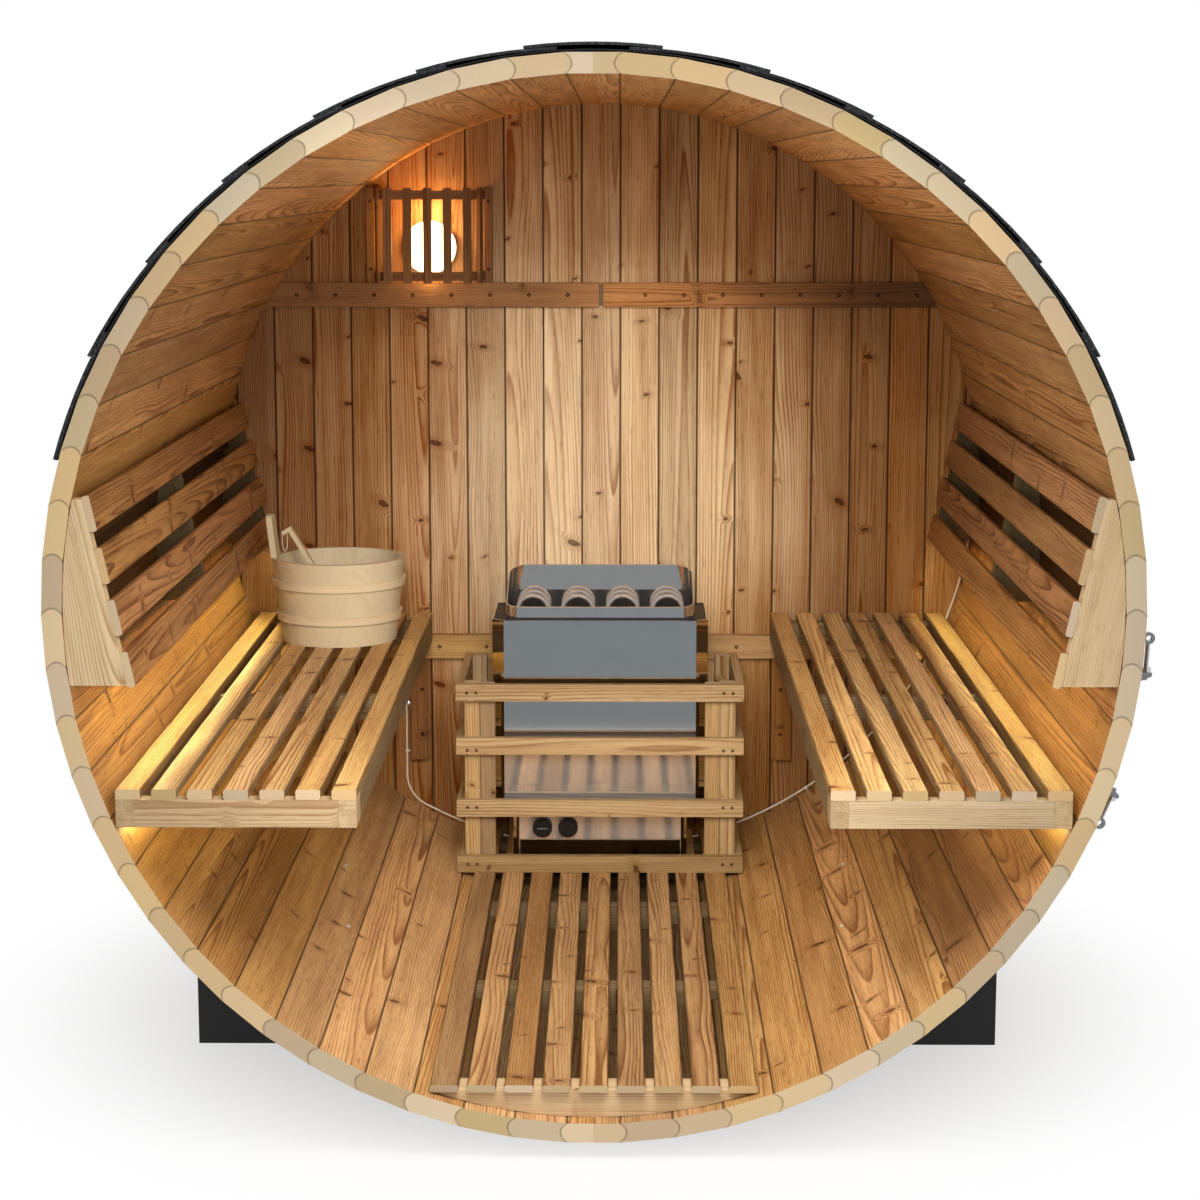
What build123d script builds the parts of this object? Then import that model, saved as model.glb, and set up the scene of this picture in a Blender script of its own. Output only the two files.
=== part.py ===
"""Barrel sauna, open at its front: a shell of bead-and-cove staves held by two tensioned steel bands,
with a boarded back wall, two slatted benches with backrests, a duckboard floor, a guarded electric
heater, a shaded wall lamp, a pail with its ladle, a shingled roof and two cradles.

Millimetres, +Z up. The barrel's axis runs along Y, its open front faces -Y, and the origin lies on the
ground below the middle of the barrel. A setback is measured backwards from the front edge of the staves,
a drop or a rise from the barrel's axis, and a reach sideways from it.
"""
import os
from math import atan2, cos, degrees, radians, sin, sqrt, tan

from build123d import *

# Barrel shell
barrel_diameter = 1800.0
stave_thickness = 33.4
stave_length = 1880.0
stave_count = 62
stave_gap = 0.5
bead_rise = 11.0
croze_depth = 10.0
ground_clearance = 30.0
floor_side_stave_count = 7
wall_side_stave_count = 15

# Clearances and easings that many pieces share
seat_gap = 0.3
board_ease = 2.0

# Back wall of tongued boards, let into the croze
back_overhang = 56.0
wall_thickness = 38.0
wall_board_cover = 88.0
wall_board_gap = 0.4
wall_tongue_length = 8.0
wall_tongue_thickness = 10.0
wall_groove_ease = 3.0

# Rails across the back wall
rail_thickness = 25.0
upper_rail_rise = 412.0
upper_rail_height = 55.0
upper_rail_split = 10.0
lower_rail_height = 55.0
lower_rail_end_gap = 9.5
lower_rail_lap = 11.0

# Benches
bench_height = 515.0
bench_inner_reach = 391.0
bench_setback = 2.0
bench_wall_gap = 21.0
bench_slat_count = 7
bench_slat_width = 41.0
bench_slat_thickness = 17.0
bench_frame_height = 47.0
bench_member_width = 30.0
bench_cross_count = 3

# Cleats below the inner rear corners of the benches
cleat_inner_reach = 397.0
cleat_width = 45.0
cleat_length = 240.0
cleat_front_width = 35.0
cleat_front_thickness = 12.0

# Backrests
backrest_lean = 12.1
backrest_top_rise = 194.0
rib_top_width = 13.3
backrest_slat_count = 4
backrest_slat_width = 60.0
backrest_slat_gap = 27.6
backrest_slat_thickness = 13.0
backrest_slat_round = 4.0
backrest_setback = 3.0
backrest_wall_gap = 24.0
rib_count = 3
rib_thickness = 28.0
rib_inset = 4.0

# Duckboard floor
joist_depth = 46.3
joist_edge_depth = 3.0
joist_width = 62.0
joist_end_inset = 11.0
joist_rear_inset = 30.0
joist_count = 4
floor_slat_count = 9
floor_slat_width = 48.0
floor_slat_overhang = 6.5
floor_slat_thickness = 13.0
floor_setback = 20.0
floor_wall_gap = 20.0

# Guard round the heater
guard_depth = 385.7
guard_stave_gap = 1.8
guard_height = 421.0
guard_rail_height = 37.0
guard_rail_thickness = 18.0
guard_side_rail_thickness = 17.0
guard_post_width = 33.5
guard_rear_post_depth = 34.0
guard_rail_shares = (0.0, 0.328, 0.69, 1.0)

# Heater casing and control box with its toe recess
heater_wall_gap = 121.0
heater_width = 473.0
heater_depth = 247.0
heater_corner = 26.0
heater_sheet = 3.0
heater_base_height = 152.0
heater_casing_height = 403.0
control_width = 383.0
control_depth = 221.0
control_corner = 13.0
toe_height = 65.0
toe_depth = 37.0

# Knobs on the control box
knob_radius = 21.5
knob_depth = 14.0
knob_ease = 2.0
knob_gap = 0.5
knob_rise = 93.0
knob_bar_length = 28.0
knob_bar_width = 7.0
knob_bar_depth = 4.0
timer_reach = 127.0
timer_bar_turn = 0.0
thermostat_reach = 70.5
thermostat_bar_turn = 45.0
spindle_radius = 3.0
spindle_length = 9.0
spindle_clearance = 0.3

# Stone tray with its heating elements
tray_side_inset = 29.5
tray_depth = 215.0
tray_inset = 22.0
tray_foot_corner = 27.0
tray_rim_corner = 46.0
tray_flare = 11.0
tray_sheet = 3.0
tray_front_rise = 26.0
tray_ledge_rise = 34.0
tray_back_rise = 90.0
tray_floor_depth = 83.0
element_diameter = 9.0
element_bend_radius = 33.5
element_rise = 50.0
element_column_pitch = 99.0
element_column_count = 4
element_row_pitch = 60.0
element_row_count = 3

# Shaded wall lamp
lamp_rise = 79.0
lamp_globe_radius = 58.0
lamp_globe_wall = 4.0
lamp_base_radius = 60.0
lamp_base_depth = 14.0
shade_height = 213.0
shade_stave_gap = 3.1
shade_half_width = 125.0
shade_front_half_width = 97.0
shade_depth = 80.0
shade_rail_height = 20.0
shade_rail_width = 12.0
shade_rail_inset = 6.0
shade_slat_width = 19.0
shade_slat_thickness = 8.0
shade_slat_pitch = 44.8
shade_slat_count = 5
shade_batten_width = 17.0
shade_batten_thickness = 20.0

# Pail and ladle
pail_bench_inset = 178.0
pail_wall_gap = 361.0
pail_base_radius = 123.5
pail_rim_radius = 144.0
pail_height = 181.0
pail_wall = 13.0
pail_bottom_thickness = 14.0
hoop_height = 17.0
hoop_thickness = 6.0
hoop_rises = (48.0, 121.0)
ear_rise = 92.0
ear_width = 60.0
ear_corner = 16.0
ladle_cup_radius = 45.0
ladle_cup_height = 42.0
ladle_wall = 5.0
ladle_offset = 60.0
ladle_handle_width = 22.0
ladle_handle_thickness = 9.0
ladle_past_rim = 66.0
ladle_handle_lean = 32.0
ladle_hook_length = 22.0
loop_diameter = 1.6
loop_drop = 42.0
loop_spread = 12.0
loop_bend = 5.0

# Light strips and the lead that feeds them along the foot of the back wall
strip_width = 12.0
strip_thickness = 3.0
strip_end_gap = 20.0
cable_diameter = 4.0
cable_reach = 455.0
cable_hole_drop = 512.0
cable_hole_radius = 8.0
cable_hole_bend = 10.0
cable_bend = 80.0
cable_stave_gap = 8.3
cable_end_angle = 98.0

# Roof covering
underlay_thickness = 2.0
shingle_thickness = 4.5
shingle_gap = 0.3
roof_edge_angle = 73.7
course_count = 6
course_angle = 11.18
course_lap_angle = 3.0
tab_count = 6
tab_slot = 6.0
ridge_half_angle = 6.9

# Cradles
cradle_front_setback = 590.0
cradle_rear_overhang = 304.0
cradle_thickness = 46.0
cradle_half_length = 760.0
cradle_end_height = 220.0

# Steel bands and their tensioners
band_setback = 55.0
band_width = 22.0
band_thickness = 1.2
eye_upper_angle = 92.8
lug_upper_angle = 96.4
lug_lower_angle = 109.8
eye_lower_angle = 113.0
eye_radius = 10.0
eye_hole_radius = 4.5
eye_thickness = 9.0
eye_standoff = 14.0
bolt_radius = 4.0
bolt_past_lug = 14.0
bolt_clearance = 0.4
lug_thickness = 6.0
lug_height = 25.0
lug_foot = 18.0
nut_width = 15.0
nut_height = 7.0

# Places worked out from the sizes above
outer_apothem = barrel_diameter / 2
inner_apothem = outer_apothem - stave_thickness
axis_height = ground_clearance + outer_apothem
front_y = -stave_length / 2
half_pitch = 180.0 / stave_count
seat_radius = inner_apothem - seat_gap
outer_corner_radius = outer_apothem / cos(radians(half_pitch))
wall_setback = stave_length - back_overhang - wall_thickness
rail_face_setback = wall_setback - rail_thickness
joist_top_drop = seat_radius - joist_depth
joist_half_length = sqrt(seat_radius**2 - (joist_top_drop + joist_edge_depth) ** 2)
floor_top_drop = joist_top_drop - floor_slat_thickness
bench_top_drop = floor_top_drop - bench_height
bench_frame_drop = bench_top_drop + bench_slat_thickness + bench_frame_height
bench_outer_reach = sqrt(seat_radius**2 - bench_frame_drop**2)
lower_rail_top_drop = bench_frame_drop - lower_rail_lap
heater_setback = wall_setback - heater_wall_gap - heater_depth
heater_bottom_drop = floor_top_drop - heater_base_height
heater_top_drop = heater_bottom_drop - heater_casing_height


def cross_section(setback):
    """Plane across the barrel: x to the right, y up from the axis, normal towards the open front."""
    return Plane((0, front_y + setback, axis_height), x_dir=(1, 0, 0), z_dir=(0, -1, 0))


def place(reach, setback, rise):
    """Point of the part at a reach to the right, a setback and a rise."""
    return Vector(reach, front_y + setback, axis_height + rise)


def level_plane(rise):
    """Horizontal plane at a rise above the barrel's axis, with its origin below the front edge."""
    return Plane.XY.offset(axis_height + rise).shift_origin((0, front_y, axis_height + rise))


def on_ring(radius, degrees_from_top):
    """Point of a cross section at a radius and an angle from the top, positive to the right."""
    turn = radians(degrees_from_top)
    return (radius * sin(turn), radius * cos(turn))


def stave_profile(left_rise, right_rise):
    """Section of the bottom stave. A positive rise rounds an edge to a bead, a negative one hollows it."""
    lean = radians(half_pitch)
    inner_half = inner_apothem * tan(lean) - stave_gap / 2
    outer_half = outer_apothem * tan(lean) - stave_gap / 2
    middle_half = (inner_half + outer_half) / 2
    middle_drop = (inner_apothem + outer_apothem) / 2
    left_middle = (-middle_half - left_rise * cos(lean), left_rise * sin(lean) - middle_drop)
    right_middle = (middle_half + right_rise * cos(lean), right_rise * sin(lean) - middle_drop)
    with BuildSketch() as profile:
        with BuildLine():
            Line((-inner_half, -inner_apothem), (inner_half, -inner_apothem))
            ThreePointArc((inner_half, -inner_apothem), right_middle, (outer_half, -outer_apothem))
            Line((outer_half, -outer_apothem), (-outer_half, -outer_apothem))
            ThreePointArc((-outer_half, -outer_apothem), left_middle, (-inner_half, -inner_apothem))
        make_face()
    return profile.sketch


starter_profile = stave_profile(bead_rise, bead_rise)
right_profile = stave_profile(-bead_rise, bead_rise)
left_profile = stave_profile(bead_rise, -bead_rise)
closing_profile = stave_profile(-bead_rise, -bead_rise)
first_wall_stave = floor_side_stave_count + 1
first_roof_stave = first_wall_stave + wall_side_stave_count
closing_stave = stave_count // 2


def side_staves(first, last, right=True, left=True):
    """Profiles and turns of the staves numbered first to last on each wanted side of the bottom one."""
    staves = []
    for number in range(first, last + 1):
        if right:
            staves.append((right_profile, 2 * half_pitch * number))
        if left:
            staves.append((left_profile, -2 * half_pitch * number))
    return staves


def stave_group(staves):
    """Staves of the full barrel length, with the croze for the back wall cut across them."""
    with BuildPart() as group:
        with BuildSketch(cross_section(stave_length)):
            for profile, turn in staves:
                add(profile, rotation=turn)
        extrude(amount=stave_length)
        with BuildSketch(cross_section(wall_setback + wall_thickness + seat_gap)):
            RegularPolygon(inner_apothem + croze_depth, stave_count, major_radius=False)
        extrude(amount=wall_thickness + 2 * seat_gap, mode=Mode.SUBTRACT)
    return group


floor_staves = stave_group([(starter_profile, 0)] + side_staves(1, floor_side_stave_count))
right_wall_staves = stave_group(side_staves(first_wall_stave, first_roof_stave - 1, left=False))
left_wall_staves = stave_group(side_staves(first_wall_stave, first_roof_stave - 1, right=False))
roof_staves = stave_group(
    side_staves(first_roof_stave, closing_stave - 1) + [(closing_profile, 2 * half_pitch * closing_stave)]
)


# Back wall: tongued boards with eased front edges, trimmed to the croze
def wall_board_profile():
    """Plan of one board, its front face on the x axis and its tongue to the right."""
    half = (wall_board_cover - wall_board_gap) / 2
    ease = wall_groove_ease
    tongue_near = (wall_thickness - wall_tongue_thickness) / 2
    tongue_far = tongue_near + wall_tongue_thickness
    groove_near = tongue_near - wall_board_gap
    groove_far = tongue_far + wall_board_gap
    groove_bottom = wall_tongue_length + wall_board_gap - half
    with BuildSketch() as profile:
        with BuildLine():
            Polyline(
                (ease - half, 0),
                (half - ease, 0),
                (half, ease),
                (half, tongue_near),
                (half + wall_tongue_length, tongue_near),
                (half + wall_tongue_length, tongue_far),
                (half, tongue_far),
                (half, wall_thickness),
                (-half, wall_thickness),
                (-half, groove_far),
                (groove_bottom, groove_far),
                (groove_bottom, groove_near),
                (-half, groove_near),
                (-half, ease),
                close=True,
            )
        make_face()
    return profile.sketch


croze_seat = inner_apothem + croze_depth - seat_gap
wall_side_boards = int(croze_seat / wall_board_cover + 1 / 2)
wall_profile = wall_board_profile()
with BuildPart() as back_wall:
    with BuildSketch(level_plane(-outer_apothem)):
        for number in range(-wall_side_boards, wall_side_boards + 1):
            with Locations((number * wall_board_cover, wall_setback)):
                add(wall_profile)
    extrude(amount=barrel_diameter)
    with BuildSketch(cross_section(wall_setback + wall_thickness)):
        RegularPolygon(croze_seat, stave_count, major_radius=False)
    extrude(amount=wall_thickness, mode=Mode.INTERSECT)
    with BuildSketch(cross_section(wall_setback + wall_thickness)):
        with Locations((-cable_reach, -cable_hole_drop)):
            Circle(cable_hole_radius)
    extrude(amount=wall_thickness, mode=Mode.SUBTRACT)

# Rails across the back wall, their ends fitted to the staves
with BuildPart() as upper_wall_rails:
    with BuildSketch(cross_section(wall_setback)):
        with Locations((0, upper_rail_rise + upper_rail_height / 2)):
            Rectangle(barrel_diameter, upper_rail_height)
            Rectangle(upper_rail_split, upper_rail_height, mode=Mode.SUBTRACT)
        RegularPolygon(seat_radius, stave_count, major_radius=False, mode=Mode.INTERSECT)
    extrude(amount=rail_thickness)

cable_run_radius = seat_radius - cable_stave_gap
lower_rail_foot_drop = lower_rail_top_drop + lower_rail_height
lower_rail_corner_reach = sqrt((cable_run_radius - cable_diameter) ** 2 - lower_rail_foot_drop**2)
lower_rail_half_length = lower_rail_corner_reach - lower_rail_end_gap
with BuildPart() as lower_wall_rail:
    with BuildSketch(cross_section(wall_setback)):
        with Locations((0, -lower_rail_top_drop)):
            Rectangle(2 * lower_rail_half_length, lower_rail_height, align=(Align.CENTER, Align.MAX))
    extrude(amount=rail_thickness)

# Cleats: a narrow board on a wider one, flush at the outer edge
cleat_top_drop = lower_rail_foot_drop + seat_gap
cleat_outer_reach = cleat_inner_reach + cleat_width
cleat_back_thickness = rail_thickness - cleat_front_thickness - seat_gap
with BuildPart() as bench_cleats:
    with BuildSketch(cross_section(wall_setback)):
        with Locations((-cleat_outer_reach, -cleat_top_drop)):
            Rectangle(cleat_width, cleat_length, align=(Align.MIN, Align.MAX))
    extrude(amount=cleat_back_thickness)
    with BuildSketch(cross_section(wall_setback - cleat_back_thickness - seat_gap)):
        with Locations((-cleat_outer_reach, -cleat_top_drop)):
            Rectangle(cleat_front_width, cleat_length, align=(Align.MIN, Align.MAX))
    extrude(amount=cleat_front_thickness)
    mirror(about=Plane.YZ)


def mirrored(piece):
    """The same sub-part on the other side of the barrel."""
    with BuildPart() as twin:
        mirror(piece.part, about=Plane.YZ)
    return twin


# Benches: slats along the barrel on a frame of two long members and their cross members
bench_slat_reach = bench_inner_reach + bench_slat_width / 2
bench_slat_pitch = (bench_outer_reach - bench_inner_reach - bench_slat_width) / (bench_slat_count - 1)
bench_middle_reach = (bench_inner_reach + bench_outer_reach) / 2
bench_clear_width = bench_outer_reach - bench_inner_reach - 2 * bench_member_width
bench_far_setback = wall_setback - bench_wall_gap
with BuildPart() as left_bench_slats:
    with BuildSketch(cross_section(bench_far_setback)) as slat_ends:
        for number in range(bench_slat_count):
            reach = bench_slat_reach + number * bench_slat_pitch
            with Locations((-reach, -bench_top_drop - bench_slat_thickness / 2)):
                Rectangle(bench_slat_width, bench_slat_thickness)
        chamfer(slat_ends.vertices(), board_ease)
    extrude(amount=bench_far_setback - bench_setback)
right_bench_slats = mirrored(left_bench_slats)

member_height = bench_frame_height - seat_gap
member_far_setback = rail_face_setback - seat_gap
member_length = member_far_setback - bench_setback
cross_pitch = (member_length - bench_member_width) / (bench_cross_count - 1)
with BuildPart() as left_bench_frame:
    with BuildSketch(cross_section(member_far_setback)):
        for reach in (bench_inner_reach + bench_member_width / 2, bench_outer_reach - bench_member_width / 2):
            with Locations((-reach, -bench_frame_drop)):
                Rectangle(bench_member_width, member_height, align=(Align.CENTER, Align.MIN))
    extrude(amount=member_length)
    with BuildSketch(level_plane(-bench_frame_drop)):
        for number in range(bench_cross_count):
            setback = bench_setback + bench_member_width / 2 + number * cross_pitch
            with Locations((-bench_middle_reach, setback)):
                Rectangle(bench_clear_width - 2 * seat_gap, bench_member_width)
    extrude(amount=member_height)
right_bench_frame = mirrored(left_bench_frame)


# Backrests: leaning slats on wedge ribs that follow the curve of the staves
backrest_top_reach = sqrt(seat_radius**2 - backrest_top_rise**2) - rib_top_width


def backrest_point(along, inward=0):
    """Point of the left backrest's rib face, measured down its slope and away from the staves."""
    lean = radians(backrest_lean)
    x = along * sin(lean) + inward * cos(lean) - backrest_top_reach
    z = backrest_top_rise - along * cos(lean) + inward * sin(lean)
    return (x, z)


backrest_pitch = backrest_slat_width + backrest_slat_gap
backrest_span = backrest_slat_count * backrest_pitch - backrest_slat_gap
backrest_far_setback = wall_setback - backrest_wall_gap
with BuildPart() as left_backrest_slats:
    with BuildSketch(cross_section(backrest_far_setback)) as slat_ends:
        for number in range(backrest_slat_count):
            along = backrest_slat_width / 2 + number * backrest_pitch
            with Locations(backrest_point(along, seat_gap + backrest_slat_thickness / 2)):
                Rectangle(backrest_slat_thickness, backrest_slat_width, rotation=backrest_lean)
        fillet(slat_ends.vertices(), backrest_slat_round)
    extrude(amount=backrest_far_setback - backrest_setback)
right_backrest_slats = mirrored(left_backrest_slats)

rib_top = backrest_point(rib_inset)
rib_foot = backrest_point(backrest_span - rib_inset)
rib_top_back = (-sqrt(seat_radius**2 - rib_top[1] ** 2), rib_top[1])
rib_foot_back = (-sqrt(seat_radius**2 - rib_foot[1] ** 2), rib_foot[1])
rib_pitch = (backrest_far_setback - backrest_setback - rib_thickness) / (rib_count - 1)
with BuildPart() as left_backrest_ribs:
    for number in range(rib_count):
        with BuildSketch(cross_section(backrest_setback + rib_thickness + number * rib_pitch)):
            with BuildLine():
                Polyline(rib_top_back, rib_top, rib_foot, rib_foot_back)
                RadiusArc(rib_top_back, rib_foot_back, -seat_radius)
            make_face()
        extrude(amount=rib_thickness)
right_backrest_ribs = mirrored(left_backrest_ribs)

# Duckboard floor: slats on joists that are cut to the round of the barrel
floor_far_setback = wall_setback - floor_wall_gap
joist_first_setback = floor_setback + joist_end_inset
joist_last_setback = floor_far_setback - joist_rear_inset - joist_width
joist_pitch = (joist_last_setback - joist_first_setback) / (joist_count - 1)
with BuildPart() as floor_joists:
    for number in range(joist_count):
        with BuildSketch(cross_section(joist_first_setback + joist_width + number * joist_pitch)):
            Circle(seat_radius)
            with Locations((0, -joist_top_drop)):
                Rectangle(
                    2 * joist_half_length,
                    barrel_diameter,
                    align=(Align.CENTER, Align.MAX),
                    mode=Mode.INTERSECT,
                )
        extrude(amount=joist_width)

floor_half_width = joist_half_length + floor_slat_overhang
floor_slat_pitch = (2 * floor_half_width - floor_slat_width) / (floor_slat_count - 1)
with BuildPart() as floor_slats:
    with BuildSketch(cross_section(floor_far_setback)) as slat_ends:
        for number in range(floor_slat_count):
            reach = (number - (floor_slat_count - 1) / 2) * floor_slat_pitch
            with Locations((reach, seat_gap / 2 - (floor_top_drop + joist_top_drop) / 2)):
                Rectangle(floor_slat_width, floor_slat_thickness - seat_gap)
        chamfer(slat_ends.vertices(), board_ease)
    extrude(amount=floor_far_setback - floor_setback)

# Heater guard: front and side rails screwed to standing posts
guard_foot_drop = floor_top_drop - seat_gap
guard_post_height = guard_height - seat_gap
guard_rail_drops = [
    guard_foot_drop - guard_rail_height / 2 - share * (guard_post_height - guard_rail_height)
    for share in guard_rail_shares
]
guard_half_width = sqrt(seat_radius**2 - guard_foot_drop**2) - guard_stave_gap
guard_far_setback = rail_face_setback - seat_gap
guard_setback = guard_far_setback - guard_depth
guard_post_setback = guard_setback + guard_rail_thickness + seat_gap
with BuildPart() as guard_front_rails:
    with BuildSketch(cross_section(guard_setback + guard_rail_thickness)) as rail_faces:
        for drop in guard_rail_drops:
            with Locations((0, -drop)):
                Rectangle(2 * guard_half_width, guard_rail_height)
        chamfer(rail_faces.vertices(), board_ease)
    extrude(amount=guard_rail_thickness)

side_rail_reach = guard_half_width - guard_side_rail_thickness / 2
with BuildPart() as guard_side_rails:
    with BuildSketch(cross_section(guard_far_setback)):
        for drop in guard_rail_drops:
            with Locations((-side_rail_reach, -drop), (side_rail_reach, -drop)):
                Rectangle(guard_side_rail_thickness, guard_rail_height)
    extrude(amount=guard_far_setback - guard_post_setback)

outer_post_reach = guard_half_width - guard_side_rail_thickness - seat_gap - guard_post_width / 2
inner_post_reach = outer_post_reach - guard_post_width - seat_gap
with BuildPart() as guard_posts:
    with BuildSketch(level_plane(-guard_foot_drop)) as post_ends:
        for side in (-1, 1):
            with Locations((side * outer_post_reach, guard_post_setback)):
                Rectangle(guard_post_width, guard_rear_post_depth, align=(Align.CENTER, Align.MIN))
            with Locations((side * inner_post_reach, guard_post_setback)):
                Rectangle(guard_post_width, guard_rail_thickness, align=(Align.CENTER, Align.MIN))
            with Locations((side * outer_post_reach, guard_far_setback)):
                Rectangle(guard_post_width, guard_rear_post_depth, align=(Align.CENTER, Align.MAX))
        chamfer(post_ends.vertices(), board_ease)
    extrude(amount=guard_post_height)

# Heater: sheet casing on a narrower control box with a toe recess, which stands on the floor
with BuildPart() as heater_casing:
    with BuildSketch(level_plane(-heater_bottom_drop)) as casing_plan:
        with Locations((0, heater_setback)):
            Rectangle(heater_width, heater_depth, align=(Align.CENTER, Align.MIN))
        chamfer(casing_plan.vertices().sort_by(Axis.Y)[:2], heater_corner)
        offset(amount=-heater_sheet, mode=Mode.SUBTRACT)
    extrude(amount=heater_bottom_drop - heater_top_drop)

tray_width = heater_width - 2 * tray_side_inset
tray_setback = heater_setback + tray_inset
tray_foot_depth = tray_depth - tray_flare
tray_middle_setback = tray_setback + tray_foot_depth / 2
tray_rim_setback = tray_setback + tray_depth / 2
with BuildPart() as heater_top_plate:
    with BuildSketch(level_plane(-heater_top_drop - 2 * heater_sheet)) as plate_plan:
        with Locations((0, heater_setback)):
            Rectangle(heater_width, heater_depth, align=(Align.CENTER, Align.MIN))
        chamfer(plate_plan.vertices().sort_by(Axis.Y)[:2], heater_corner)
        offset(amount=-heater_sheet - seat_gap, mode=Mode.REPLACE)
        with Locations((0, tray_middle_setback)):
            RectangleRounded(
                tray_width + 2 * seat_gap,
                tray_foot_depth + 2 * seat_gap,
                tray_foot_corner + seat_gap,
                mode=Mode.SUBTRACT,
            )
    extrude(amount=heater_sheet)

control_foot_drop = floor_top_drop - seat_gap
toe_drop = floor_top_drop - toe_height
knob_drop = floor_top_drop - knob_rise
control_height = control_foot_drop - heater_bottom_drop - seat_gap
toe_width = control_width - 2 * control_corner
with BuildPart() as heater_control_box:
    with BuildSketch(level_plane(-control_foot_drop)) as control_plan:
        with Locations((0, heater_setback)):
            Rectangle(control_width, control_depth, align=(Align.CENTER, Align.MIN))
        chamfer(control_plan.vertices().sort_by(Axis.Y)[:2], control_corner)
        offset(amount=-heater_sheet, mode=Mode.SUBTRACT)
    extrude(amount=control_height)
    with BuildSketch(level_plane(-control_foot_drop)):
        with Locations((0, heater_setback)):
            Rectangle(toe_width, 2 * heater_sheet)
    extrude(amount=control_foot_drop - toe_drop, mode=Mode.SUBTRACT)
    with BuildSketch(cross_section(heater_setback)):
        with Locations((-timer_reach, -knob_drop), (-thermostat_reach, -knob_drop)):
            Circle(spindle_radius + spindle_clearance)
    extrude(amount=-2 * heater_sheet, mode=Mode.SUBTRACT)

with BuildPart() as heater_plinth:
    with BuildSketch(level_plane(-control_foot_drop)):
        with Locations((0, heater_setback + toe_depth)):
            Rectangle(
                control_width - 2 * heater_sheet - 2 * seat_gap,
                heater_sheet,
                align=(Align.CENTER, Align.MIN),
            )
    extrude(amount=control_height)


# Knobs: an eased disc with a grip bar across it, turned by a spindle in the control box
def knob(reach, bar_turn):
    """Knob whose spindle turns in its hole at a reach to the left of the heater's middle."""
    with BuildPart() as turned:
        with BuildSketch(cross_section(heater_setback - knob_gap)):
            with Locations((-reach, -knob_drop)):
                Circle(knob_radius)
        extrude(amount=knob_depth)
        chamfer(turned.faces().sort_by(Axis.Y)[0].edges(), knob_ease)
        with BuildSketch(cross_section(heater_setback - knob_gap - knob_depth)):
            with Locations((-reach, -knob_drop)):
                Rectangle(knob_bar_length, knob_bar_width, rotation=bar_turn)
        extrude(amount=knob_bar_depth)
        with BuildSketch(cross_section(heater_setback - knob_gap)):
            with Locations((-reach, -knob_drop)):
                Circle(spindle_radius)
        extrude(amount=-spindle_length)
    return turned


timer_knob = knob(timer_reach, timer_bar_turn)
thermostat_knob = knob(thermostat_reach, thermostat_bar_turn)

# Stone tray: open box of sheet whose rim slopes from a high flared back to a low front
tray_front_drop = heater_top_drop - tray_front_rise
tray_back_drop = heater_top_drop - tray_back_rise
tray_floor_drop = heater_top_drop + tray_floor_depth
tray_ledge_drop = heater_top_drop - tray_ledge_rise


def tray_body(inset, floor_drop):
    """Tray outline set in by a sheet: an upright box whose upper part flares back to a rounder rim."""
    width = tray_width - 2 * inset
    with BuildPart() as body:
        with BuildSketch(level_plane(-floor_drop)):
            with Locations((0, tray_middle_setback)):
                RectangleRounded(width, tray_foot_depth - 2 * inset, tray_foot_corner - inset)
        extrude(amount=floor_drop - tray_ledge_drop)
        with BuildSketch(level_plane(-tray_ledge_drop)):
            with Locations((0, tray_middle_setback)):
                RectangleRounded(width, tray_foot_depth - 2 * inset, tray_foot_corner - inset)
        with BuildSketch(level_plane(-tray_back_drop)):
            with Locations((0, tray_rim_setback)):
                RectangleRounded(width, tray_depth - 2 * inset, tray_rim_corner - inset)
        loft()
    return body


with BuildPart() as stone_tray:
    add(tray_body(0, tray_floor_drop).part)
    add(tray_body(tray_sheet, tray_floor_drop - tray_sheet).part, mode=Mode.SUBTRACT)
    with BuildSketch(Plane.YZ.offset(-tray_width)):
        with BuildLine():
            Polyline(
                (front_y + tray_setback, axis_height - tray_front_drop),
                (front_y + tray_setback + tray_depth, axis_height - tray_back_drop),
                (front_y + tray_setback, axis_height - tray_back_drop),
                close=True,
            )
        make_face()
    extrude(amount=2 * tray_width, mode=Mode.SUBTRACT)

element_foot_drop = tray_floor_drop - tray_sheet - seat_gap
element_bend_drop = heater_top_drop - element_rise + element_diameter / 2 + element_bend_radius
element_first_reach = (element_column_count - 1) * element_column_pitch / 2
element_first_setback = tray_middle_setback - (element_row_count - 1) * element_row_pitch / 2
with BuildPart() as heating_elements:
    for column in range(element_column_count):
        for row in range(element_row_count):
            middle = column * element_column_pitch - element_first_reach
            left = middle - element_bend_radius
            right = middle + element_bend_radius
            setback = element_first_setback + row * element_row_pitch
            with BuildLine(cross_section(setback)) as loop:
                Line((left, -element_foot_drop), (left, -element_bend_drop))
                ThreePointArc(
                    (left, -element_bend_drop),
                    (middle, element_bend_radius - element_bend_drop),
                    (right, -element_bend_drop),
                )
                Line((right, -element_bend_drop), (right, -element_foot_drop))
            with BuildSketch(level_plane(-element_foot_drop)):
                with Locations((left, setback)):
                    Circle(element_diameter / 2)
            sweep(path=loop.wires()[0])

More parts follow.
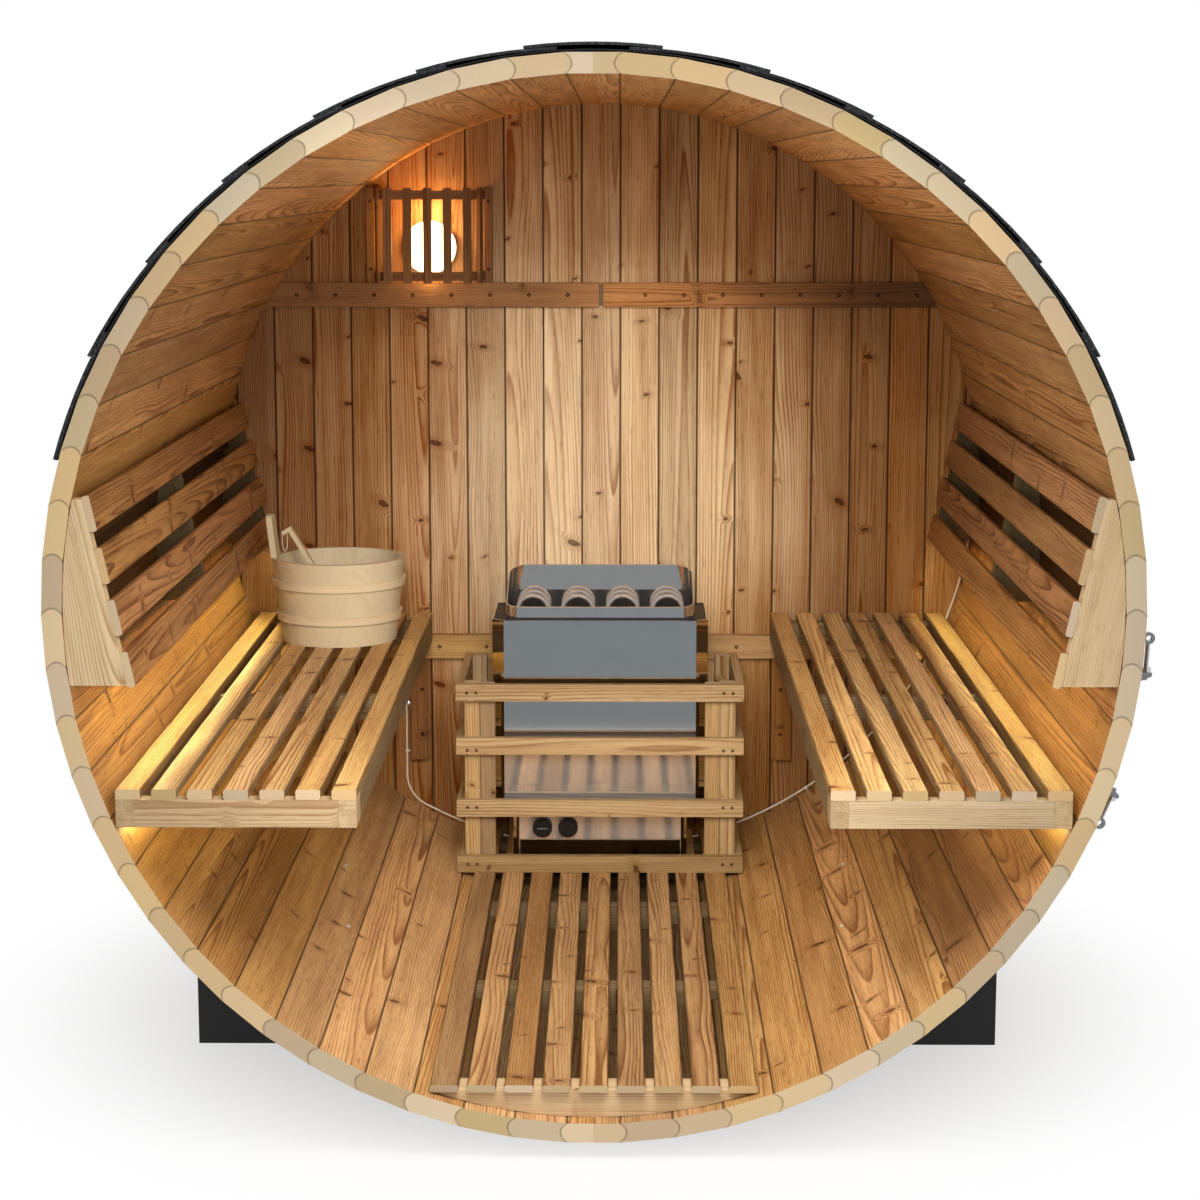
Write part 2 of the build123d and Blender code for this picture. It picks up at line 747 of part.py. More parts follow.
# Wall lamp: a globe on a round base, behind a slatted shade that stands on the upper rail
shade_foot_rise = upper_rail_rise + upper_rail_height + seat_gap
shade_outer_half_width = shade_half_width + seat_gap + shade_batten_width
shade_corner_reach = sqrt((seat_radius - shade_stave_gap) ** 2 - (shade_foot_rise + shade_height) ** 2)
lamp_reach = shade_corner_reach - shade_outer_half_width
lamp_middle_rise = shade_foot_rise + lamp_rise
lamp_base_setback = wall_setback - seat_gap
globe_setback = lamp_base_setback - lamp_base_depth - seat_gap
with BuildPart() as lamp_base:
    with BuildSketch(cross_section(lamp_base_setback)):
        with Locations((-lamp_reach, lamp_middle_rise)):
            Circle(lamp_base_radius)
    extrude(amount=lamp_base_depth)

with BuildPart() as lamp_globe:
    with Locations(place(-lamp_reach, globe_setback, lamp_middle_rise)):
        Sphere(lamp_globe_radius)
        Sphere(lamp_globe_radius - lamp_globe_wall, mode=Mode.SUBTRACT)
    split(bisect_by=cross_section(globe_setback), keep=Keep.TOP)

shade_rail_rises = (
    shade_foot_rise + shade_rail_inset,
    shade_foot_rise + shade_height - shade_rail_inset - shade_rail_height,
)
shade_front_setback = wall_setback - shade_depth
with BuildPart() as lamp_shade_rails:
    for rise in shade_rail_rises:
        with BuildSketch(level_plane(rise)):
            with BuildLine():
                Polyline(
                    (-lamp_reach - shade_half_width, wall_setback),
                    (-lamp_reach - shade_front_half_width, shade_front_setback),
                    (-lamp_reach + shade_front_half_width, shade_front_setback),
                    (-lamp_reach + shade_half_width, wall_setback),
                )
                offset(amount=shade_rail_width, side=Side.LEFT, kind=Kind.INTERSECTION)
            make_face()
            with Locations((-lamp_reach, wall_setback - seat_gap)):
                Rectangle(
                    2 * shade_half_width,
                    2 * shade_depth,
                    align=(Align.CENTER, Align.MAX),
                    mode=Mode.INTERSECT,
                )
        extrude(amount=shade_rail_height)

shade_splay_run = shade_half_width - shade_front_half_width
shade_splay = degrees(atan2(shade_splay_run, shade_depth))
side_slat_standoff = seat_gap + shade_slat_thickness / 2
side_slat_reach = shade_half_width - shade_splay_run / 2 + side_slat_standoff * cos(radians(shade_splay))
side_slat_setback = wall_setback - shade_depth / 2 - side_slat_standoff * sin(radians(shade_splay))
with BuildPart() as lamp_shade_slats:
    with BuildSketch(level_plane(shade_foot_rise)):
        for number in range(shade_slat_count):
            across = (number - (shade_slat_count - 1) / 2) * shade_slat_pitch - lamp_reach
            with Locations((across, shade_front_setback - seat_gap)):
                Rectangle(shade_slat_width, shade_slat_thickness, align=(Align.CENTER, Align.MAX))
        for side in (-1, 1):
            with Locations((side * side_slat_reach - lamp_reach, side_slat_setback)):
                Rectangle(shade_slat_thickness, shade_slat_width, rotation=-side * shade_splay)
    extrude(amount=shade_height)

batten_reach = shade_half_width + seat_gap + shade_batten_width / 2
with BuildPart() as lamp_shade_battens:
    with BuildSketch(cross_section(wall_setback)):
        for side in (-1, 1):
            with Locations((side * batten_reach - lamp_reach, shade_foot_rise)):
                Rectangle(shade_batten_width, shade_height, align=(Align.CENTER, Align.MIN))
    extrude(amount=shade_batten_thickness)

# Pail: tapered tub with two hoops and one long stave as its handle
pail_foot_rise = seat_gap - bench_top_drop
pail_reach = bench_inner_reach + pail_bench_inset
pail_setback = wall_setback - pail_wall_gap
pail_foot = place(-pail_reach, pail_setback, pail_foot_rise)
pail_axis = Axis(pail_foot, (0, 0, 1))
pail_plane = Plane(pail_foot, (1, 0, 0), (0, -1, 0))
pail_taper = (pail_rim_radius - pail_base_radius) / pail_height


def pail_radius(rise):
    """Outside radius of the tub at a rise above its foot."""
    return pail_base_radius + rise * pail_taper


with BuildPart() as pail:
    with BuildSketch(pail_plane):
        with BuildLine():
            Polyline(
                (0, 0),
                (pail_base_radius, 0),
                (pail_rim_radius, pail_height),
                (pail_rim_radius - pail_wall, pail_height),
                (pail_radius(pail_bottom_thickness) - pail_wall, pail_bottom_thickness),
                (0, pail_bottom_thickness),
                close=True,
            )
        make_face()
    revolve(axis=pail_axis)
    ear_top = pail_height + ear_rise
    with BuildSketch(pail_plane.offset(-ear_width / 2)):
        with BuildLine():
            Polyline(
                (-pail_radius(pail_height), pail_height),
                (-pail_radius(ear_top), ear_top),
                (pail_wall - pail_radius(ear_top), ear_top),
                (pail_wall - pail_radius(pail_height), pail_height),
                (pail_wall - pail_radius(pail_height / 2), pail_height / 2),
                (pail_wall / 2 - pail_radius(pail_height / 2), pail_height / 2),
                (pail_wall / 2 - pail_radius(pail_height), pail_height),
                close=True,
            )
        make_face()
    extrude(amount=ear_width)
    ear_crown = pail.faces().sort_by(Axis.Z)[-1]
    fillet(ear_crown.edges().filter_by(Axis.X), ear_corner)

with BuildPart() as pail_hoops:
    for rise in hoop_rises:
        with BuildSketch(pail_plane):
            with BuildLine():
                Polyline(
                    (pail_radius(rise) + seat_gap, rise),
                    (pail_radius(rise) + hoop_thickness, rise),
                    (pail_radius(rise + hoop_height) + hoop_thickness, rise + hoop_height),
                    (pail_radius(rise + hoop_height) + seat_gap, rise + hoop_height),
                    close=True,
                )
            make_face()
        revolve(axis=pail_axis)

# Ladle: turned cup on the pail's bottom with a flat hooked handle that leans over the rim
ladle_foot = pail_bottom_thickness + seat_gap
ladle_plane = Plane(
    (ladle_offset - pail_reach, front_y + pail_setback, axis_height + pail_foot_rise + ladle_foot),
    (1, 0, 0),
    (0, -1, 0),
)
ladle_axis = Axis(ladle_plane.origin, (0, 0, 1))
handle_lean = radians(ladle_handle_lean)
ladle_handle_rise = pail_height + ladle_past_rim - ladle_foot - ladle_cup_height
ladle_handle_length = ladle_handle_rise / cos(handle_lean)
handle_top = (
    -ladle_cup_radius - ladle_handle_length * sin(handle_lean),
    ladle_cup_height + ladle_handle_length * cos(handle_lean),
)
handle_foot = (ladle_wall / 2 - ladle_cup_radius, ladle_cup_height - ladle_handle_thickness)
hook_end = (
    handle_top[0] - ladle_hook_length * cos(handle_lean),
    handle_top[1] - ladle_hook_length * sin(handle_lean),
)
with BuildPart() as ladle:
    with BuildSketch(ladle_plane):
        with Locations((0, 0)):
            Rectangle(ladle_cup_radius, ladle_cup_height, align=(Align.MIN, Align.MIN))
        with Locations((0, ladle_wall)):
            Rectangle(
                ladle_cup_radius - ladle_wall,
                ladle_cup_height,
                align=(Align.MIN, Align.MIN),
                mode=Mode.SUBTRACT,
            )
    revolve(axis=ladle_axis)
    with BuildSketch(ladle_plane.offset(-ladle_handle_width / 2)):
        with BuildLine():
            Polyline(handle_foot, handle_top, hook_end)
            offset(amount=ladle_handle_thickness, side=Side.LEFT, kind=Kind.INTERSECTION)
        make_face()
    extrude(amount=ladle_handle_width)

# Hanging loop: a thin cord from the hook of the ladle, down over the rim and back up to the handle
loop_start = (hook_end[0], hook_end[1] - loop_diameter / 2 - seat_gap)
loop_end = (
    handle_top[0] - loop_spread * sin(handle_lean),
    handle_top[1] - ladle_handle_thickness - loop_spread * cos(handle_lean),
)
with BuildPart() as ladle_loop:
    with BuildLine(ladle_plane) as loop_route:
        FilletPolyline(
            loop_start,
            (loop_start[0], loop_start[1] - loop_drop),
            (loop_start[0] + loop_spread, loop_start[1] - loop_drop),
            loop_end,
            radius=loop_bend,
        )
    loop_wire = loop_route.wires()[0]
    with BuildSketch(Plane(loop_wire @ 0, z_dir=loop_wire % 0)):
        Circle(loop_diameter / 2)
    sweep(path=loop_wire)

# Light strips behind the lowest backrest slats and under the benches' outer members
strip_run = rib_pitch - rib_thickness - 2 * strip_end_gap
strip_along = backrest_span - backrest_slat_width / 2
with BuildPart() as light_strips:
    for bay in range(rib_count - 1):
        strip_far_setback = backrest_setback + (bay + 1) * rib_pitch - strip_end_gap
        with BuildSketch(cross_section(strip_far_setback)):
            with Locations(backrest_point(strip_along, -strip_thickness / 2)):
                Rectangle(strip_thickness, strip_width, rotation=backrest_lean)
        extrude(amount=strip_run)
    with BuildSketch(cross_section(member_far_setback - strip_end_gap)):
        with Locations((bench_member_width - bench_outer_reach, -bench_frame_drop - seat_gap)):
            Rectangle(strip_width, strip_thickness, align=(Align.MAX, Align.MAX))
    extrude(amount=member_length - 2 * strip_end_gap)
    mirror(about=Plane.YZ)

# Lead of the light strips: in through the back wall, down to the staves, then round their foot
cable_setback = wall_setback - seat_gap - cable_diameter / 2
cable_bend_reach = cable_reach - cable_bend
cable_bend_drop = sqrt((cable_run_radius - cable_bend) ** 2 - cable_bend_reach**2)
cable_turn_angle = -90 - degrees(atan2(cable_bend_drop, cable_bend_reach))
bend_middle = on_ring(cable_bend, (cable_turn_angle - 90) / 2)
run_start = on_ring(cable_run_radius, cable_turn_angle)
run_middle = on_ring(cable_run_radius, (cable_turn_angle + 360 + cable_end_angle) / 2)
run_end = on_ring(cable_run_radius, cable_end_angle)
with BuildPart() as strip_cable:
    with BuildLine() as cable_route:
        FilletPolyline(
            place(-cable_reach, wall_setback + wall_thickness / 2, -cable_hole_drop),
            place(-cable_reach, cable_setback, -cable_hole_drop),
            place(-cable_reach, cable_setback, -cable_bend_drop),
            radius=cable_hole_bend,
        )
        ThreePointArc(
            place(-cable_reach, cable_setback, -cable_bend_drop),
            place(bend_middle[0] - cable_bend_reach, cable_setback, bend_middle[1] - cable_bend_drop),
            place(run_start[0], cable_setback, run_start[1]),
        )
        ThreePointArc(
            place(run_start[0], cable_setback, run_start[1]),
            place(run_middle[0], cable_setback, run_middle[1]),
            place(run_end[0], cable_setback, run_end[1]),
        )
    cable_wire = cable_route.wires()[0]
    with BuildSketch(Plane(cable_wire @ 0, z_dir=cable_wire % 0)):
        Circle(cable_diameter / 2)
    sweep(path=cable_wire)

# Roof: underlay over the bands, then slotted shingle courses that lap from the eaves to a ridge cap
band_radius = outer_corner_radius + seat_gap
underlay_radius = band_radius + band_thickness + seat_gap
shingle_radius = underlay_radius + underlay_thickness + shingle_gap
shingle_step = (shingle_thickness + shingle_gap) * (course_angle + course_lap_angle) / course_angle


def roof_section(lower_angle, upper_angle, lower_radius, upper_radius, thickness, setback=stave_length):
    """Section of a curved roof layer at a setback, whose underside runs evenly between two radii."""
    middle_angle = (lower_angle + upper_angle) / 2
    middle_radius = (lower_radius + upper_radius) / 2
    inner_points = [
        on_ring(lower_radius, lower_angle),
        on_ring(middle_radius, middle_angle),
        on_ring(upper_radius, upper_angle),
    ]
    outer_points = [
        on_ring(upper_radius + thickness, upper_angle),
        on_ring(middle_radius + thickness, middle_angle),
        on_ring(lower_radius + thickness, lower_angle),
    ]
    with BuildSketch(cross_section(setback)) as section:
        with BuildLine():
            ThreePointArc(*inner_points)
            Line(inner_points[-1], outer_points[0])
            ThreePointArc(*outer_points)
            Line(outer_points[-1], inner_points[0])
        make_face()
    return section.sketch


with BuildPart() as roof_underlay:
    extrude(
        roof_section(roof_edge_angle, -roof_edge_angle, underlay_radius, underlay_radius, underlay_thickness),
        amount=stave_length,
    )

tab_length = stave_length / tab_count
with BuildPart() as right_shingles:
    for course in range(course_count):
        lower = roof_edge_angle - course * course_angle
        upper = lower - course_angle - course_lap_angle
        lower_step = shingle_step if course else 0
        lower_radius = shingle_radius + lower_step
        extrude(
            roof_section(lower, upper, lower_radius, shingle_radius, shingle_thickness),
            amount=stave_length,
        )
        slope = lower_step / (course_angle + course_lap_angle)
        slot_radius = lower_radius - shingle_gap / 2
        first_slot = tab_length / 2 if course % 2 else tab_length
        for tab in range(tab_count - 1 + course % 2):
            slot = roof_section(
                lower + course_lap_angle,
                lower - course_angle,
                slot_radius + slope * course_lap_angle,
                slot_radius - slope * course_angle,
                shingle_thickness + shingle_gap,
                first_slot + tab * tab_length + tab_slot / 2,
            )
            extrude(slot, amount=tab_slot, mode=Mode.SUBTRACT)
left_shingles = mirrored(right_shingles)

ridge_radius = shingle_radius + shingle_step + shingle_gap
with BuildPart() as ridge_cap:
    extrude(
        roof_section(ridge_half_angle, -ridge_half_angle, ridge_radius, ridge_radius, shingle_thickness),
        amount=stave_length,
    )

# Cradles: planks whose tops are cut to the barrel
cradle_seat_radius = outer_corner_radius + seat_gap
cradle_rear_setback = stave_length - cradle_rear_overhang - cradle_thickness


def cradle(setback):
    """Plank across the barrel with its foot on the ground."""
    with BuildPart() as plank:
        with BuildSketch(cross_section(setback + cradle_thickness)):
            with Locations((0, -axis_height)):
                Rectangle(2 * cradle_half_length, cradle_end_height, align=(Align.CENTER, Align.MIN))
            Circle(cradle_seat_radius, mode=Mode.SUBTRACT)
        extrude(amount=cradle_thickness)
    return plank


front_cradle = cradle(cradle_front_setback)
rear_cradle = cradle(cradle_rear_setback)

# Steel bands: a hoop from eye to eye round the barrel, closed by a strap with a lug at each end
band_middles = (band_setback, stave_length - band_setback)


def band_section(middle, first_angle, last_angle):
    """Section of a thin hoop between two angles from the top, clockwise from the front."""
    middle_angle = (first_angle + last_angle) / 2
    outer_radius = band_radius + band_thickness
    with BuildSketch(cross_section(middle + band_width / 2)) as section:
        with BuildLine():
            ThreePointArc(*[on_ring(band_radius, a) for a in (first_angle, middle_angle, last_angle)])
            Line(on_ring(band_radius, last_angle), on_ring(outer_radius, last_angle))
            ThreePointArc(*[on_ring(outer_radius, a) for a in (last_angle, middle_angle, first_angle)])
            Line(on_ring(outer_radius, first_angle), on_ring(band_radius, first_angle))
        make_face()
    return section.sketch


with BuildPart() as steel_bands:
    for middle in band_middles:
        extrude(band_section(middle, eye_lower_angle, eye_upper_angle + 360), amount=band_width)

eye_ring_radius = band_radius + band_thickness + eye_standoff


def tangent_plane(angle, middle):
    """Plane at an angle on the ring of eyes, its normal along the band, clockwise from the front."""
    x, z = on_ring(eye_ring_radius, angle)
    along = on_ring(1, angle + 90)
    return Plane((x, front_y + middle, axis_height + z), x_dir=(0, 1, 0), z_dir=(along[0], 0, along[1]))


# Each eye bolt runs from an eye on the hoop through the lug on the strap's end
tension_pairs = ((eye_upper_angle, lug_upper_angle, 1), (eye_lower_angle, lug_lower_angle, -1))


def lug_distance(eye_angle, lug_angle):
    """Distance along an eye bolt from its eye to the near face of the lug."""
    return (band_radius + band_thickness / 2) * sin(abs(radians(lug_angle - eye_angle)))


def lug_outline(eye_angle, lug_angle, way):
    """Corners of a lug that stands on the strap, its upright face square to the eye bolt."""
    along = Vector(*on_ring(way, eye_angle + 90))
    out = Vector(*on_ring(1, eye_angle))
    foot = Vector(*on_ring(band_radius + band_thickness / 2, lug_angle))
    tip = foot + out * lug_height
    return [foot, tip, tip + along * lug_thickness, foot + along * lug_foot]


with BuildPart() as tension_straps:
    for middle in band_middles:
        extrude(band_section(middle, lug_upper_angle, lug_lower_angle), amount=band_width)
        for eye_angle, lug_angle, way in tension_pairs:
            with BuildSketch(cross_section(middle + band_width / 2)):
                with BuildLine():
                    Polyline(*lug_outline(eye_angle, lug_angle, way), close=True)
                make_face()
            extrude(amount=band_width)
            with BuildSketch(tangent_plane(eye_angle, middle)):
                Circle(bolt_radius + bolt_clearance)
            extrude(amount=way * (lug_distance(eye_angle, lug_angle) + 2 * lug_foot), mode=Mode.SUBTRACT)

with BuildPart() as eye_bolts:
    for middle in band_middles:
        for eye_angle, lug_angle, way in tension_pairs:
            with BuildSketch(cross_section(middle + eye_thickness / 2)):
                with Locations(on_ring(eye_ring_radius, eye_angle)):
                    Circle(eye_radius)
            extrude(amount=eye_thickness)
            with BuildSketch(tangent_plane(eye_angle, middle)):
                Circle(bolt_radius)
            extrude(amount=way * (lug_distance(eye_angle, lug_angle) + bolt_past_lug))
            with BuildSketch(cross_section(middle + eye_thickness / 2)):
                with Locations(on_ring(eye_ring_radius, eye_angle)):
                    Circle(eye_hole_radius)
            extrude(amount=eye_thickness, mode=Mode.SUBTRACT)

with BuildPart() as band_nuts:
    for middle in band_middles:
        for eye_angle, lug_angle, way in tension_pairs:
            nut_start = lug_distance(eye_angle, lug_angle) - seat_gap - nut_height
            with BuildSketch(tangent_plane(eye_angle, middle).offset(way * nut_start)):
                RegularPolygon(nut_width / 2, 6, major_radius=False)
                Circle(bolt_radius + seat_gap, mode=Mode.SUBTRACT)
            extrude(amount=way * nut_height)

pieces = {
    "floor_staves": floor_staves,
    "left_wall_staves": left_wall_staves,
    "right_wall_staves": right_wall_staves,
    "roof_staves": roof_staves,
    "back_wall": back_wall,
    "upper_wall_rails": upper_wall_rails,
    "lower_wall_rail": lower_wall_rail,
    "bench_cleats": bench_cleats,
    "left_bench_slats": left_bench_slats,
    "left_bench_frame": left_bench_frame,
    "right_bench_slats": right_bench_slats,
    "right_bench_frame": right_bench_frame,
    "left_backrest_slats": left_backrest_slats,
    "left_backrest_ribs": left_backrest_ribs,
    "right_backrest_slats": right_backrest_slats,
    "right_backrest_ribs": right_backrest_ribs,
    "floor_joists": floor_joists,
    "floor_slats": floor_slats,
    "guard_front_rails": guard_front_rails,
    "guard_side_rails": guard_side_rails,
    "guard_posts": guard_posts,
    "heater_casing": heater_casing,
    "heater_top_plate": heater_top_plate,
    "heater_control_box": heater_control_box,
    "heater_plinth": heater_plinth,
    "timer_knob": timer_knob,
    "thermostat_knob": thermostat_knob,
    "stone_tray": stone_tray,
    "heating_elements": heating_elements,
    "lamp_base": lamp_base,
    "lamp_globe": lamp_globe,
    "lamp_shade_rails": lamp_shade_rails,
    "lamp_shade_slats": lamp_shade_slats,
    "lamp_shade_battens": lamp_shade_battens,
    "pail": pail,
    "pail_hoops": pail_hoops,
    "ladle": ladle,
    "ladle_loop": ladle_loop,
    "light_strips": light_strips,
    "strip_cable": strip_cable,
    "roof_underlay": roof_underlay,
    "left_shingles": left_shingles,
    "right_shingles": right_shingles,
    "ridge_cap": ridge_cap,
    "front_cradle": front_cradle,
    "rear_cradle": rear_cradle,
    "steel_bands": steel_bands,
    "tension_straps": tension_straps,
    "eye_bolts": eye_bolts,
    "band_nuts": band_nuts,
}
os.makedirs("parts", exist_ok=True)
for name, piece in pieces.items():
    piece.part.label = name
    export_step(piece.part, f"parts/{name}.step")
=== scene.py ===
"""Looks of the barrel sauna: procedural materials, small fittings, light and camera."""
from math import cos, pi, radians, sin

import bmesh
import bpy
from mathutils import Matrix, Vector


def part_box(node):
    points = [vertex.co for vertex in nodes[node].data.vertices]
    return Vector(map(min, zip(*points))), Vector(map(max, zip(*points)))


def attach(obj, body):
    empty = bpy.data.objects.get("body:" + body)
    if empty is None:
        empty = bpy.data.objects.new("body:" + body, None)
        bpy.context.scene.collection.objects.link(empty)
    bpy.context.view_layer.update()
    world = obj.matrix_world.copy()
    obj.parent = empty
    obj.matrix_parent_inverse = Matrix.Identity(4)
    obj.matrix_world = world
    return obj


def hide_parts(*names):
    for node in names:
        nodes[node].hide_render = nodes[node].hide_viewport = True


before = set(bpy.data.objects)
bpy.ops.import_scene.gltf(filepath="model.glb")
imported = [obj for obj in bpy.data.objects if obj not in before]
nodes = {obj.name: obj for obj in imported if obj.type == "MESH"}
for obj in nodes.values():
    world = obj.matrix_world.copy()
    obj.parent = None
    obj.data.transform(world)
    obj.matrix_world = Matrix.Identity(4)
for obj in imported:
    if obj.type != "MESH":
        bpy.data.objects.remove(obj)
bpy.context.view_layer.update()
scene = bpy.context.scene

# Sizes of the barrel that the looks follow, in metres
barrel_radius = 0.900
stave_thickness = 0.0334
stave_inside = barrel_radius - stave_thickness
bead_rise = 0.011
stave_count = 62
stave_angle = 2 * pi / stave_count
axis_rise = 0.930
wall_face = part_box("back_wall")[0].y
wall_board = 0.088

# Widths of the boards, and the leans of pieces that don't stand or lie straight
bench_slat = 0.041
bench_member = 0.030
backrest_lean = radians(12.1)
backrest_first = 0.0315
backrest_pitch = 0.0876
backrest_rib = 0.028
cleat_reach = 0.420
joist = 0.062
floor_slat = 0.048
guard_rail = 0.037
guard_post = 0.0335
shade_slat_pitch = 0.0448
shade_rail = 0.020
pail_hoop = 0.017
pail_staves = 14
pail_radius = 0.14
ladle_lean = radians(32)


class Graph:
    """A material's node tree, with short calls for the nodes that the materials here share."""

    def __init__(self, name):
        self.material = bpy.data.materials.new(name)
        self.material.use_nodes = True
        self.tree = self.material.node_tree
        self.tree.nodes.clear()
        self.shader = self.node("ShaderNodeBsdfPrincipled")
        self.output = self.node("ShaderNodeOutputMaterial")
        self.tree.links.new(self.shader.outputs[0], self.output.inputs[0])

    def node(self, kind, **settings):
        made = self.tree.nodes.new(kind)
        for key, value in settings.items():
            setattr(made, key, value)
        return made

    def put(self, socket, value):
        """Links a socket to another one, or sets its constant."""
        if isinstance(value, bpy.types.NodeSocket):
            self.tree.links.new(value, socket)
        elif isinstance(value, tuple) and len(value) == 3 and socket.type == "RGBA":
            socket.default_value = (*value, 1.0)
        else:
            socket.default_value = value

    def math(self, operation, *values, clamp=False):
        made = self.node("ShaderNodeMath", operation=operation, use_clamp=clamp)
        for socket, value in zip(made.inputs, values):
            self.put(socket, value)
        return made.outputs[0]

    def add(self, a, b):
        return self.math("ADD", a, b)

    def times(self, a, b):
        return self.math("MULTIPLY", a, b)

    def minus(self, a, b):
        return self.math("SUBTRACT", a, b)

    def size(self, value):
        return self.math("ABSOLUTE", value)

    def fit(self, value, low, high, to_low=0.0, to_high=1.0):
        """Smooth step of a value from one range to another."""
        made = self.node("ShaderNodeMapRange", interpolation_type="SMOOTHSTEP")
        for number, part in enumerate((value, low, high, to_low, to_high)):
            self.put(made.inputs[number], part)
        return made.outputs[0]

    def join(self, x, y, z):
        made = self.node("ShaderNodeCombineXYZ")
        for socket, value in zip(made.inputs, (x, y, z)):
            self.put(socket, value)
        return made.outputs[0]

    def split(self, vector):
        made = self.node("ShaderNodeSeparateXYZ")
        self.put(made.inputs[0], vector)
        return made.outputs[0], made.outputs[1], made.outputs[2]

    def point(self):
        """Coordinates of the part's own frame, in metres."""
        return self.split(self.node("ShaderNodeTexCoord").outputs["Object"])

    def scaled(self, scale):
        """Those coordinates, times a scale."""
        x, y, z = self.point()
        return self.join(self.times(x, scale), self.times(y, scale), self.times(z, scale))

    def noise(self, vector, detail=2.0):
        made = self.node("ShaderNodeTexNoise")
        self.put(made.inputs["Vector"], vector)
        made.inputs["Scale"].default_value = 1.0
        made.inputs["Detail"].default_value = detail
        return made.outputs[0]

    def cells(self, vector, dimensions="3D"):
        made = self.node("ShaderNodeTexVoronoi", voronoi_dimensions=dimensions)
        made.inputs["Scale"].default_value = 1.0
        self.put(made.inputs["Vector"], vector)
        return made.outputs

    def chance(self, vector):
        """Three random numbers for each value of a vector."""
        made = self.node("ShaderNodeTexWhiteNoise", noise_dimensions="3D")
        self.put(made.inputs["Vector"], vector)
        return self.split(made.outputs["Color"])

    def spread(self, chance, middle, reach):
        """A random number, spread evenly about a middle."""
        return self.add(self.times(self.minus(chance, 0.5), reach), middle)

    def mix(self, share, first, second):
        made = self.node("ShaderNodeMix", data_type="RGBA")
        self.put(made.inputs[0], share)
        self.put(made.inputs[6], first)
        self.put(made.inputs[7], second)
        return made.outputs[2]

    def tint(self, color, hue, saturation, value):
        made = self.node("ShaderNodeHueSaturation")
        for key, part in (("Hue", hue), ("Saturation", saturation), ("Value", value), ("Color", color)):
            self.put(made.inputs[key], part)
        return made.outputs[0]

    def facing(self, axis):
        """How far a face looks along an axis, from -1 to 1."""
        made = self.node("ShaderNodeVectorMath", operation="DOT_PRODUCT")
        self.put(made.inputs[0], self.node("ShaderNodeNewGeometry").outputs["True Normal"])
        made.inputs[1].default_value = axis
        return made.outputs["Value"]

    def bump(self, height, strength, distance):
        made = self.node("ShaderNodeBump")
        made.inputs["Strength"].default_value = strength
        made.inputs["Distance"].default_value = distance
        self.put(made.inputs["Height"], height)
        self.tree.links.new(made.outputs[0], self.shader.inputs["Normal"])

    def snap(self, value, first, pitch):
        """Number of the board at a place, and the distance from that board's middle."""
        number = self.math("ROUND", self.math("DIVIDE", self.minus(value, first), pitch))
        local = self.minus(self.minus(value, first), self.times(number, pitch))
        return number, local


def row(node, axis, board, count):
    """Middle of the first board of a node's even row, and the pitch of the row."""
    low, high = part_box(node)
    return low[axis] + board / 2, (high[axis] - low[axis] - board) / (count - 1)


def middle(node):
    low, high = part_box(node)
    return (low + high) / 2


# How each kind of board lies: distances across, through and along it, its number, and any seam's distance
def stave_lie(g):
    """Staves count upwards from the bottom one, and each ends in a bead in the next one's cove.

    A board's number is a vector, and its last part tells this kind of board from the others.
    """
    x, y, z = g.point()
    rise = g.minus(z, axis_rise)
    angle = g.math("ARCTAN2", x, g.times(rise, -1.0))
    radius = g.math("SQRT", g.add(g.times(x, x), g.times(rise, rise)))
    depth = g.minus(radius, stave_inside)
    share = g.math("DIVIDE", g.minus(depth, stave_thickness / 2), stave_thickness / 2)
    bead = g.times(g.math("SUBTRACT", 1.0, g.times(share, share), clamp=True), bead_rise)
    turn = g.size(angle)
    number, local = g.snap(g.minus(turn, g.math("DIVIDE", bead, radius)), 0.0, stave_angle)
    across = g.times(g.minus(turn, g.times(number, stave_angle)), stave_inside)
    edge = g.times(g.minus(stave_angle / 2, g.size(local)), stave_inside)
    return across, depth, y, g.join(number, g.math("SIGN", x), 3.0), edge


def wall_lie(g):
    x, y, z = g.point()
    number, local = g.snap(x, 0.0, wall_board)
    return local, g.minus(y, wall_face), z, g.join(number, 7.0, 0.0), g.minus(wall_board / 2, g.size(local))


def bench_slat_lie(g):
    x, y, z = g.point()
    number, local = g.snap(g.size(x), *row("right_bench_slats", 0, bench_slat, 7))
    depth = g.minus(z, middle("right_bench_slats").z)
    return local, depth, y, g.join(number, g.math("SIGN", x), 11.0), None


def bench_frame_lie(g):
    """Two long members along the barrel, and cross members between them."""
    x, y, z = g.point()
    low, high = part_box("right_bench_frame")
    half = (high.x - low.x) / 2
    off = g.minus(g.size(x), low.x + half)
    is_long = g.math("GREATER_THAN", g.size(off), half - bench_member)
    is_cross = g.minus(1.0, is_long)
    number, local = g.snap(y, *row("right_bench_frame", 1, bench_member, 3))
    long_depth = g.minus(g.size(off), half - bench_member / 2)
    depth = g.add(g.times(is_long, long_depth), g.times(is_cross, local))
    along = g.add(g.times(is_long, y), g.times(is_cross, x))
    kind = g.add(g.times(is_long, g.math("SIGN", off)), g.times(is_cross, g.add(number, 5.0)))
    across = g.minus(z, middle("right_bench_frame").z)
    return across, depth, along, g.join(kind, g.math("SIGN", x), 13.0), None


def backrest_slope(g):
    """Distance down the backrest's face and away from it."""
    x, y, z = g.point()
    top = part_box("right_backrest_slats")[1]
    inwards = g.minus(top.x, g.size(x))
    downwards = g.minus(top.z, z)
    down = g.add(g.times(inwards, sin(backrest_lean)), g.times(downwards, cos(backrest_lean)))
    away = g.minus(g.times(inwards, cos(backrest_lean)), g.times(downwards, sin(backrest_lean)))
    return g.math("SIGN", x), y, down, away


